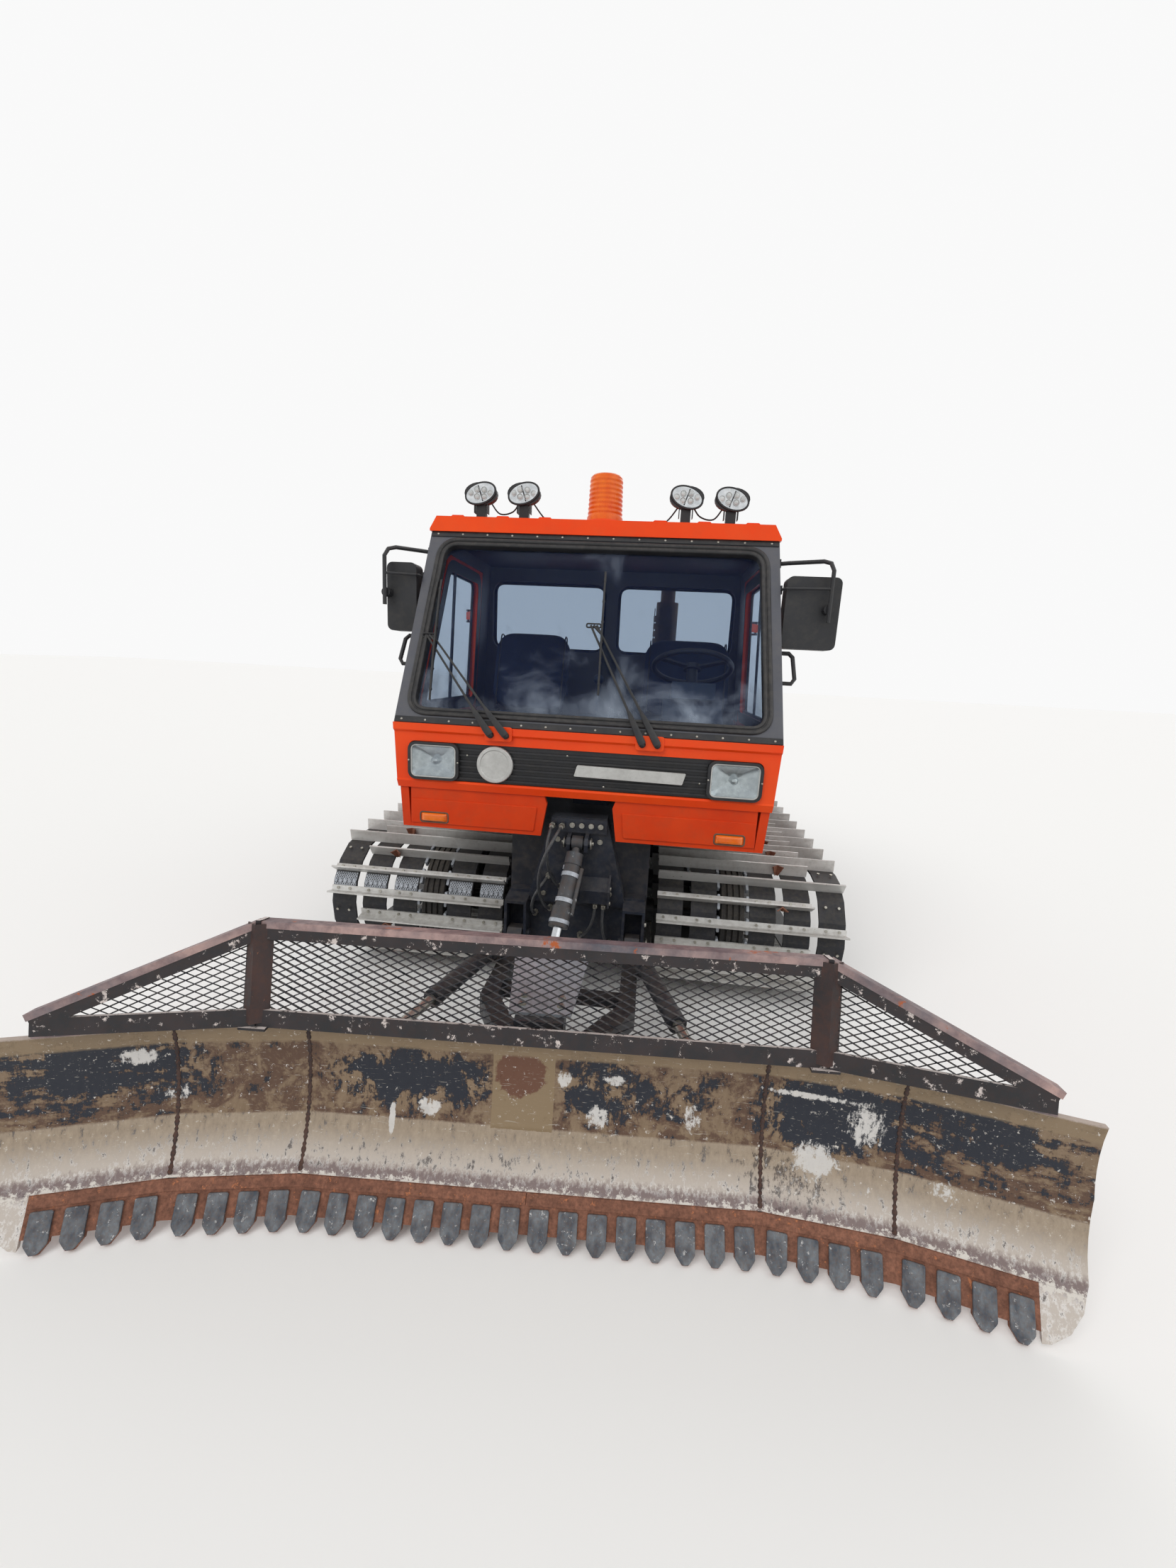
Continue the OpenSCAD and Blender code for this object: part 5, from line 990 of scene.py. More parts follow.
    def wing_frame(self) -> tuple[Array, Array, float]:
        """Return the frame of the right wing's plane, its post's head in it and its lower edge's length."""
        foot = np.array([self.screen_x, *self.screen_foot])
        d = np.array(self.tip) - foot
        run = float(np.linalg.norm(d))
        plan, rise = math.atan2(d[1], d[0]), math.asin(d[2] / run)
        x = self.screen_back * math.sin(plan)
        up = (x * math.cos(rise) + self.screen_h * math.sin(rise), self.screen_back * math.cos(plan),
              self.screen_h * math.cos(rise) - x * math.sin(rise))
        frame = move(*foot) @ turn("z", math.degrees(plan)) @ turn("y", -math.degrees(rise))
        frame = frame @ turn("x", math.degrees(math.atan2(up[2], up[1])))
        return frame, np.array([up[0], math.hypot(up[1], up[2])]), run

    def strands(self, width: float, height: float, keep: Callable[[Array], Array]) -> Part:
        """Return expanded metal: slanted strands between the bonds of a staggered lattice.

        Each bond lies at half a cell's steps along and up, and a strand runs from each to its upper left and
        upper right neighbour, twisted so that its broad side faces partly up.

        Args:
            width: Width of the field.
            height: Height of the field.
            keep: Tells which strand middles lie inside.

        Returns:
            The strands.
        """
        w, h = self.cell
        j, i = np.indices((int(height / h * 2) + 1, int(width / w * 2) + 1)).reshape(2, -1)
        even = (i + j) % 2 == 0
        start = np.stack([i * w / 2, j * h / 2], -1)[even]
        a = np.concatenate([start, start])
        b = np.concatenate([start + [w / 2, h / 2], start + [-w / 2, h / 2]])
        inside = keep((a + b) / 2)
        a, b = a[inside], b[inside]
        along = unit(b - a)
        side = np.stack([-along[:, 1], along[:, 0]], -1) * self.strand[0] / 2
        corners = np.stack([a - side, b - side, b + side, a + side], 1)
        depth = np.broadcast_to([[[-11.0], [-11.0], [-8.4], [-8.4]]], corners[..., :1].shape)
        low = np.concatenate([corners, depth], -1)
        points = np.concatenate([low, low + [0, 0, -self.strand[1]]], 1)
        box = np.array([[0, 1, 2, 3], [7, 6, 5, 4], [0, 4, 5, 1], [2, 6, 7, 3], [1, 5, 6, 2], [3, 7, 4, 0]])
        faces = (box[None] + 8 * np.arange(len(a))[:, None, None]).reshape(-1, 4)
        return points.reshape(-1, 3), [faces]

    def screen_mesh(self) -> Part:
        """Return the mesh of the screen's middle and its two wings."""
        run = math.hypot(self.screen_h, self.screen_back)
        width = 2 * self.screen_x - 16
        middle = self.strands(
            width, run, lambda p: (np.abs(p[:, 0] - width / 2) < width / 2) & (p[:, 1] < run))
        middle = put(self.screen_frame() @ move(-width / 2, -2, 0), middle)
        frame, head, length = self.wing_frame()
        slope = unit(np.array([length, 0.0]) - head)
        wing = self.strands(length, head[1], lambda p: (
            (p[:, 0] > 12 + head[0] * p[:, 1] / head[1]) & (p[:, 1] > -4)
            & ((p[:, 0] - head[0]) * slope[1] - (p[:, 1] - head[1]) * slope[0] > 0)
            & (p[:, 0] < length - 25)))
        return put(self.frame(), merge([middle, both(put(frame, wing))]))

    def posts(self) -> Part:
        """Return the folded posts: an open angle carried from each foot to the screen's head."""
        angle = [[-40, -18], [-36, -20], [0, 10], [36, -20], [40, -18], [0, 15]]
        rise = np.linspace(-12, math.hypot(self.screen_h, self.screen_back) + 20, 6)
        path = np.stack([0 * rise + self.screen_x, rise, 0 * rise + 12], -1)
        return put(self.frame(), both(put(self.screen_frame(), sweep(path, angle, up=(0, 0, 1)))))

    def edges(self) -> Part:
        """Return the rubbed lips on the screen's upper beams, and the flanges at the blade's upper ends.

        A lip is an angle of Z and Y, carried along X, that covers the beam's top and the head of its face.
        """
        lip = [[-42, 25.2], [6.2, 25.2], [6.2, 7], [8, 7], [8, 27], [-42, 27]]
        turned = np.array([[0, 0, 1.0, 0], [0, 1, 0, 0], [1, 0, 0, 0], [0, 0, 0, 1]])
        run, half = math.hypot(self.screen_h, self.screen_back), self.screen_x + 8
        top = put(self.screen_frame() @ move(0, run, 0) @ turned, prism(lip, -half, half))
        frame, head, length = self.wing_frame()
        far = np.array([length, 12.5]) - head
        place = frame @ move(*head, 0) @ turn("z", math.degrees(math.atan2(far[1], far[0]))) @ turned
        wing = put(place, prism(lip, 0, float(np.linalg.norm(far)) + 4))
        flange = put(self.section(2), prism(rounded(rect(275, 191, 120, 44), 5, 2), 541, 547))
        return put(self.frame(), merge([top, both(merge([wing, flange]))]))

    def bolts(self) -> Part:
        """Return the bolts that hold the screen's feet and the step plate."""
        foot = self.screen_foot[0] + 25
        spots = [[s * self.screen_x + dx, foot, 549.5] for s in (-1, 1) for dx in (-26, 26)]
        spots += [[x, y, 582.0] for x in (-60, 60) for y in (300, 345)]
        return put(self.frame(), copies(hexagon_bolt(9, 9), stand(spots, (0, 0, 1))))

    def build(self, shop: Workshop) -> None:
        """Make every piece of the blade."""
        shop.fit("tooth_faces", self.tooth_faces(), "slate", Body.BLADE, bevel=2.0)
        shop.fit("joint_plates", self.joint_plates(), "rust", Body.BLADE, bevel=1.0)
        shop.fit("board_seams", self.seams(), "weld", Body.BLADE, smooth=60)
        shop.fit("fine_screen_mesh", self.screen_mesh(), "chassis", Body.BLADE, stands_for=("screen_mesh",))
        shop.fit("screen_posts", self.posts(), "post", Body.BLADE)
        shop.fit("screen_edges", self.edges(), "pale_edge", Body.BLADE)
        shop.fit("blade_bolts", self.bolts(), "zinc", Body.BLADE)


@dataclass
class Tracks:
    """Tyres with ribs, lacing plates, bar brackets, guides and bolts of both tracks."""

    bar_in: float = 372.0
    belt_w: float = 120.6
    belts: Vec = (3.0, 161.6, 437.2, 595.8, 754.4)
    tyre_x: float = 731.7
    tyre_w: float = 117.0
    wheel_r: float = 278.0
    rim_r: float = 165.0
    bar_h: float = 58.0
    front: Vec = (401.0, 389.0)
    first: Vec = (1020.0, 336.0)
    pitch: float = 620.0
    count: int = 77
    sprocket: Vec = (3420.0, 417.0)
    sprocket_r: float = 250.0
    links: tuple[int, int] = (8, 7)
    bars: tuple[int, ...] = (31, 1, 1, 1, 1, 1, 1, 1, 1, 6, 19, 6, 1, 1, 1, 1, 1, 1, 1)
    joints: tuple[int, int] = (3, 30)

    def places(self) -> tuple[Array, Array]:
        """Work out where each bar sits on the belts.

        The loop is a row of straight lines, each given by its outward angle and its distance from a wheel's
        centre. Two neighbours meet where both distances hold, and the bars share each stretch evenly.

        Returns:
            Y and Z of each bar's foot, and the loop's outward angle there in degrees.
        """
        last = (self.first[0] + 3 * self.pitch, self.first[1])
        fall = math.degrees(math.atan2(self.front[1] - self.first[1], self.first[0] - self.front[0]))
        gap = np.subtract(self.sprocket, last)
        rear = 270 + math.degrees(math.atan2(gap[1], gap[0]))
        rear += math.degrees(math.asin((self.wheel_r - self.sprocket_r) / np.linalg.norm(gap)))
        n, m = self.links
        steps = [90.0] + [90 + (180 - fall) / n * (k + 0.5) for k in range(n)] + [270 - fall, 270.0, rear]
        steps += [rear + (450 - rear) / m * (k + 0.5) for k in range(m)]
        centres = [self.front] * (n + 2) + [self.first, last] + [self.sprocket] * m
        radii = [self.wheel_r] * (n + 4) + [self.sprocket_r] * m
        a = np.radians(steps)
        reach = np.array(centres)[:, 0] * np.cos(a) + np.array(centres)[:, 1] * np.sin(a) + np.array(radii)
        b, far = np.roll(a, -1), np.roll(reach, -1)
        corner = np.stack([reach * np.sin(b) - far * np.sin(a), far * np.cos(a) - reach * np.cos(b)], -1)
        corner /= np.sin(b - a)[:, None]
        order = [i % len(steps) for i in range(1, len(steps) + 1)]
        spots = [corner[k - 1] + (corner[k] - corner[k - 1]) * (j + 0.5) / self.bars[k]
                 for k in order for j in range(self.bars[k])]
        turns = [steps[k] for k in order for _ in range(self.bars[k])]
        return np.array(spots), np.array(turns)

    def is_long(self, side: int) -> Array:
        """Tell which bars reach the track's outer edge: every second one, with a pair at the belts' joint."""
        i, joint = np.arange(self.count), self.joints[0 if side < 0 else 1]
        before = i < joint
        return before == (i % 2 == 0) if side < 0 else before == (i % 2 == 1)

    def frames(self, pick: Array) -> Array:
        """Return a frame at each picked bar: X across the track, Y along the loop and Z outwards."""
        spots, turns = self.places()
        return np.array([move(0, *spots[i]) @ turn("x", turns[i] - 90) for i in np.flatnonzero(pick)])

    def tyre(self) -> Part:
        """Return one tyre about X: a bulged wall, and a tread of four ribs between three grooves."""
        h, r = self.tyre_w / 2, self.wheel_r - 0.6
        right = [(3, 9), (4, 0), (24, 0), (26, 9), (32, 9), (34, 0), (h - 6, 3)]
        tread = [(x, r - depth) for x, depth in [(-x, depth) for x, depth in right[::-1]] + right]
        wall = [(-h + 12, self.rim_r + 7), (-h + 2, self.rim_r + 26), (-h, self.rim_r + 60), (-h + 1, r - 18)]
        profile = np.array(wall + tread + [(-x, z) for x, z in wall[::-1]])
        ring = lathe(profile[:, ::-1], 56)
        last = (len(profile) - 1) * 56
        i = np.arange(56)
        bead = np.stack([i, last + i, last + (i + 1) % 56, (i + 1) % 56], -1)
        return put(turn("y", 90), (ring[0], [*ring[1], bead]))

    def wheels(self) -> Array:
        """Return the place of each wheel on one side."""
        rows = [self.front] + [(self.first[0] + k * self.pitch, self.first[1]) for k in range(4)]
        return np.array([move(self.tyre_x, *row) for row in rows])

    def nuts(self) -> Part:
        """Return six nuts and a hub cap on the outer face of each rim."""
        a = np.radians(60 * np.arange(6))
        places = np.stack([0 * a + 8, 78 * np.cos(a), 78 * np.sin(a)], -1)
        cap = put(turn("y", 90), lathe([(0, 62), (24, 61), (34, 56), (38, 50), (38, 48)], 24))
        one = merge([copies(hexagon_bolt(9, 12), stand(places, (1, 0, 0))), cap])
        return both(copies(one, self.wheels()))

    def lacing(self, bar: int) -> tuple[Part, Part]:
        """Return one track's lacing, on the two links that meet between a bar and the one before it.

        Each belt has a plate on either side of the corner, staggered rows of rivets in it, and knuckles
        that stand by turns on one plate and the other along the joint.

        Args:
            bar: Number of the bar after the corner.

        Returns:
            Plates with their knuckles, and rivets.
        """
        plates, rivets = [], []
        row = np.array([move(self.bar_in + b + self.belt_w / 2, 0, 0) for b in self.belts])
        head = prism(circle(3.4, 6), 2.6, 3.8)
        links = self.frames(np.isin(np.arange(self.count), (bar - 1, bar)))
        for link, y, h, end in zip(links, (-31, 42), (42, 21), (-54, 54)):
            rows = np.arange(y - h / 2 + 6, y + h / 2 - 3, 8)
            x, v = (g.ravel() for g in np.meshgrid(np.linspace(-48, 48, 9), rows))
            x = x + np.where((v - y) / 8 % 2 < 1, 3.0, -3.0)
            knuckle = prism(rounded(rect(0, 0, 10, 13), 2, 2), 0.4, 6)
            spots = [move(k, end + 4 * np.sign(y), 0) for k in np.arange(-50 + 6 * (y > 0), 55, 24)]
            part = merge([prism(rounded(rect(0, y, self.belt_w - 8, h), 3, 2), 0.3, 3),
                          copies(knuckle, spots)])
            heads = copies(head, stand(np.c_[x, v, 0 * x], (0, 0, 1)))
            plates.append(copies(part, link @ row))
            rivets.append(copies(heads, link @ row))
        return merge(plates), merge(rivets)

    def bracket(self) -> Part:
        """Return a folded bracket: a V that widens from the belt to the bar's tip, on the bar's face."""
        t = np.linspace(0, 1, 5)[:, None]
        arm = np.array([[-1.0, 0], [0, 1], [1, 0], [0.8, -0.12], [0, 0.72], [-0.8, -0.12]])
        width, depth = 8 + 20 * t, 8 + 14 * t
        x = arm[None, :, 0] * width
        y = -5 - depth - 2 + arm[None, :, 1] * depth
        return skin(np.stack([x, y, np.repeat(1 + t * (self.bar_h - 2), 6, 1)], -1))

    def build(self, shop: Workshop) -> None:
        """Make the pieces of both tracks."""
        every, left, right = np.ones(self.count, bool), self.is_long(-1), self.is_long(1)
        tyres = both(copies(self.tyre(), self.wheels()))
        shop.fit("ribbed_tyres", tyres, "tyre", smooth=40, stands_for=("tyres",))
        shop.fit("wheel_nuts", self.nuts(), "zinc")
        flip = np.diag([-1.0, 1, 1, 1])
        left_lacing, right_lacing = self.lacing(self.joints[0]), self.lacing(self.joints[1])
        shop.fit("lacing_plates", merge([mirrored(left_lacing[0]), right_lacing[0]]), "galvanised")
        shop.fit("lacing_rivets", merge([mirrored(left_lacing[1]), right_lacing[1]]), "plastic")
        at = move(self.bar_in + self.belts[3] - 19, 0, 0)
        fold = put(at, self.bracket())
        folds = [copies(put(flip, fold), self.frames(~left)), copies(fold, self.frames(~right))]
        shop.fit("bar_brackets", merge(folds), "rust")
        guide = prism(rounded(rect(0, 0, 13, 74), 4, 2), -26, 3)
        pads = merge([put(move(self.bar_in + self.belts[2] - 9.5, 4, 0), guide),
                      put(move(self.bar_in + self.belts[1] + self.belt_w + 9.5, 4, 0), guide)])
        shop.fit("belt_guides", both(copies(pads, self.frames(every))), "galvanised", bevel=1.0)
        head = prism(circle(7, 6), 8, 14)
        spots = [[self.bar_in + b + dx, 18, 0] for b in self.belts for dx in (30, self.belt_w - 30)]
        row = copies(head, stand(spots, (0, 0, 1)))
        shop.fit("bar_bolts", both(copies(row, self.frames(every))), "zinc")


@dataclass
class CabFront:
    """Nose, windscreen surround and wipers."""

    foot_y: float = -84.0
    head_y: float = 277.0
    waist_z: float = 1347.0
    roof_z: float = 2199.0
    waist_w: float = 822.0
    roof_w: float = 786.0
    foot_edge: float = 66.0
    head_edge: float = 66.0
    low: float = 60.0
    high: float = 57.0
    nose_y: float = -87.0
    lamp: Vec = (642.0, 1186.0, 200.0, 142.0)

    def lean(self) -> float:
        """Return the windscreen's lean in degrees."""
        return math.degrees(math.atan2(self.head_y - self.foot_y, self.roof_z - self.waist_z))

    def slope(self) -> float:
        """Return the windscreen's length up its slope."""
        return math.hypot(self.head_y - self.foot_y, self.roof_z - self.waist_z)

    def plane(self) -> Array:
        """Return the windscreen's frame: X across, Y up the slope and Z outwards."""
        return move(0, self.foot_y, self.waist_z) @ turn("x", 90 - self.lean())

    def opening(self) -> Array:
        """Return the windscreen opening's outline."""
        foot, head = self.waist_w - self.foot_edge, self.roof_w - self.head_edge
        top = self.slope() - self.high
        return rounded([[-foot, self.low], [foot, self.low], [head, top], [-head, top]], 75, 10)

    def seal(self) -> Part:
        """Return the rubber seal: a profile with two ridges carried round the opening."""
        o = self.opening()
        path = np.c_[o, 0 * o[:, 0]]
        ridges = [[-14, -30], [-14, 0], [-10, 6], [-4, 8], [1, 6], [3, 2.5], [7, 2.5], [9, 7], [14, 9.5],
                  [19, 9], [24, 6], [25, 0.1], [4, 0.1], [-1, -30]]
        return put(self.plane(), sweep(path, ridges, up=(0, 0, 1), closed=True))

    def strips(self) -> Part:
        """Return the black strips at the windscreen's head and foot."""
        top = prism(rounded(rect(0, self.slope() - 14, 2 * self.roof_w - 4, 26), 3, 2), 0, 5)
        foot = prism(rounded(rect(0, 14, 2 * self.waist_w - 6, 26), 3, 2), 0, 5)
        return put(self.plane(), merge([top, foot]))

    def screws(self) -> Part:
        """Return the strips' screws and those of the lamps' bezels and the grille."""
        head = lathe([(0, 2.4), (2.4, 2.1), (4.2, 1.2), (5, 0)], 10)
        spots = [[x, v, 5] for v, w, n in ((self.slope() - 14, self.roof_w, 14), (14, self.waist_w, 16))
                 for x in np.linspace(-w + 34, w - 34, n)]
        x, z, w, _ = self.lamp
        flat = [[s * (x + d * (w / 2 + 9)), self.nose_y - 12, z] for s in (-1, 1) for d in (-1, 1)]
        flat += [[a, self.nose_y + 2, z + b] for a, b in ((-495, 34), (-60, 60), (100, -62), (500, -20))]
        return merge([put(self.plane(), copies(head, stand(spots, (0, 0, 1)))),
                      copies(put(np.diag([0.8, 0.8, 0.8, 1]), head), stand(flat, (0, -1, 0)))])

    def pads(self) -> Part:
        """Return the orange pads behind the wipers' pivots."""
        return merge([self.front(rect(x, 1322, 118, 62), 12, 7.8, 15) for x in (-356, 283)])

    def front(self, outline: Any, radius: float, low: float, high: float) -> Part:
        """Return a plate on the nose: an outline of X and Z between two distances ahead of its face."""
        matrix = move(0, self.nose_y, 0) @ turn("x", 90)
        return put(matrix, prism(rounded(outline, radius, 5) if radius else outline, low, high))

    def badges(self) -> Part:
        """Return the blank round badge with its rim, and the blank plate."""
        disc = lathe([(0, 17), (62, 17), (64, 20), (76, 20), (79, 17), (79, 4)], 56)
        disc = put(move(-370, self.nose_y, 1188) @ turn("x", 90) @ move(0, 0, -8), disc)
        plate = self.front([[-28, 1162], [428, 1156], [441, 1205], [-15, 1211]], 6, -8, 9)
        return merge([disc, plate])

    def valances(self) -> Part:
        """Return the raised fields of the two valance halves, above and below their fold."""
        field = self.front([[196, 900], [752, 900], [752, 1010], [184, 1010]], 8, -20.5, -15)
        return both(field)

    def indicators(self) -> Part:
        """Return the lenses: pillows of height (1 - u^6)(1 - v^6)."""
        def pillow(u: Array, v: Array) -> Array:
            """Return the lens's points."""
            a, b = 2 * u - 1, 2 * v - 1
            x = 646 + 60 * np.sign(a) * np.abs(a) ** 0.8
            rise = 17 * (1 - np.abs(a) ** 6) * (1 - np.abs(b) ** 6)
            return np.stack([x, self.nose_y + 20 - rise, 930 + 20 * b], -1)
        return both(grid(pillow, 31, 15))

    def indicator_rims(self) -> Part:
        """Return the rims: a half-round bead round each indicator."""
        o = rounded(rect(646, 930, 126, 45), 12, 5)
        return both(sweep(upright(o, self.nose_y + 17), circle(4.5, 8), up=(0, 1, 0), closed=True))

    def reflectors(self) -> Part:
        """Return the lamps' bowls: the lens outline shrunk towards its middle as a parabola deepens."""
        x, z, w, h = self.lamp
        o = rounded(rect(0, 0, w - 2, h - 2), 24, 6)
        s = np.array([1.0, 0.97, 0.9, 0.8, 0.68, 0.55, 0.42, 0.3, 0.2, 0.12])[:, None]
        depth = 30 * (1 - s**2) ** 0.8
        back = self.nose_y - 4 + np.repeat(depth, len(o), 1)
        bowl = skin(np.stack([x + o[None, :, 0] * s, back, z + o[None, :, 1] * s], -1), False, False)
        cap = lathe([(0, 26), (8, 25), (14, 20), (17, 12), (17, 0)], 24)
        cap = put(move(x, self.nose_y + 24, z) @ turn("x", 90), cap)
        return both(merge([bowl, cap]))

    def lenses(self) -> Part:
        """Return the lamp glasses: a crowned field with an outline of its own and fine upright flutes."""
        x, z, w, h = self.lamp
        o = rounded(rect(0, 0, w - 2, h - 2), 24, 6)
        s = np.linspace(1, 0.02, 14)[:, None]
        crown = -9 * (1 - s**4) + 0.7 * np.sin(o[None, :, 0] * s * 0.42)
        face = np.stack([x + o[None, :, 0] * s, self.nose_y - 5 + crown, z + o[None, :, 1] * s], -1)
        return both(skin(face, False))

    def lens_rims(self) -> Part:
        """Return the bright rings between glass and bezel."""
        x, z, w, h = self.lamp
        o = rounded(rect(x, z, w - 4, h - 4), 24, 6)
        return both(sweep(upright(o, self.nose_y - 8), circle(3.5, 8), up=(0, 1, 0), closed=True))

    def wiper(self, pivots: Vec, tip: Vec, blade: tuple[Vec, Vec]) -> list[Part]:
        """Return one pantograph wiper.

        Args:
            pivots: X of its two pivots.
            tip: Where the arms end.
            blade: Head and foot of its blade.

        Returns:
            Pivot caps, tapered arm feet, thin arms, their link, the blade's carrier and its rubber.
        """
        cap = lathe([(0, 24), (6, 23.5), (11, 20), (14, 14), (15, 0)], 20)
        tip_at, out = np.array(tip, float), []
        for i, x in enumerate(pivots):
            foot = np.array([x, self.nose_y - 12, 1317.0])
            end = tip_at + [26 * (i - 0.5), 0, 0]
            out.append(put(move(x, self.nose_y - 8, 1317) @ turn("x", 90), cap))
            t = np.array([0.0, 0.04, 0.2, 0.24, 0.27, 0.6, 1.0])[:, None]
            lift = np.array([-16, -24, -30, -26, -22, -16, -6.0])[:, None] * [[0, 1, -0.2]]
            path = foot * (1 - t) + end * t + lift
            half = np.array([15, 15, 11, 8, 5.5, 4.5, 4.5])[:, None]
            box = np.array([[-1, -0.6], [1, -0.6], [1, 0.4], [0.6, 0.7], [-0.6, 0.7], [-1, 0.4]])
            tangent = unit(np.gradient(path, axis=0))
            side = unit(np.cross(tangent, [0, -1, 0.4]))
            up = np.cross(side, tangent)
            around = box[None, :, :1] * side[:, None] + box[None, :, 1:] * up[:, None]
            out.append(skin(path[:, None] + half[:, None] * around))
        loop = upright(rounded(rect(tip_at[0], tip_at[2], 62, 16), 7, 4), tip_at[1] - 8)
        out.append(sweep(loop, circle(3.4, 8), up=(0, 1, 0), closed=True))
        head, low = np.array(blade[0], float), np.array(blade[1], float)
        away = np.array([0, -math.cos(math.radians(self.lean())), math.sin(math.radians(self.lean()))])
        t = np.linspace(0, 1, 25)[:, None]
        spine = head * (1 - t) + low * t
        bow = 10 + 12 * np.sin(np.pi * t) + 2.5 * np.abs(np.sin(4 * np.pi * t))
        out.append(sweep(spine + away * bow, rounded(rect(0, 0, 9, 5), 1.5, 2), up=away))
        rubber = [[-3.5, 3], [3.5, 3], [2, -1], [0.8, -7], [-0.8, -7], [-2, -1]]
        out.append(sweep(spine + away * 9, rubber, up=away))
        claws = spine[[2, 6, 10, 14, 18, 22]] + away * 12
        out.append(copies(prism(rect(0, 0, 11, 9), -4, 7), stand(claws, away)))
        middle = head * 0.475 + low * 0.525
        link = [tip_at + [0, -8, 0], (tip_at + middle) / 2 + away * 10, middle + away * 20]
        out.append(sweep(link, circle(6, 8), up=(1, 0, 0)))
        return out

    def build(self, shop: Workshop) -> None:
        """Make the pieces of the cab's front."""
        shop.fit("windscreen_seal", self.seal(), "seal", smooth=50)
        shop.fit("screen_strips", self.strips(), "plastic", bevel=1.0)
        shop.fit("front_screws", self.screws(), "zinc", smooth=60)
        shop.fit("wiper_pads", self.pads(), "orange", bevel=2.0)
        shop.fit("blank_badges", self.badges(), "badge", bevel=0.8)
        shop.fit("valance_fields", self.valances(), "valance", bevel=3.0)
        shop.fit("indicator_lenses", self.indicators(), "amber", smooth=60, stands_for=("indicators",))
        shop.fit("indicator_rims", self.indicator_rims(), "exhaust", smooth=60)
        shop.fit("lamp_reflectors", self.reflectors(), "reflector", smooth=50, stands_for=("headlamps",))
        shop.fit("lamp_glasses", self.lenses(), "lens", smooth=60)
        shop.fit("lamp_rings", self.lens_rims(), "badge", smooth=60)
        left = self.wiper((-389, -323), (-719, 75, 1722), ((-702, 179, 1968), (-674, -43, 1443)))
        right = self.wiper((252, 314), (6, 106, 1796), ((37, 205, 2030), (52, -19, 1501)))
        shop.fit("pantograph_wipers", merge(left + right), "plastic", smooth=50, stands_for=("wipers",))


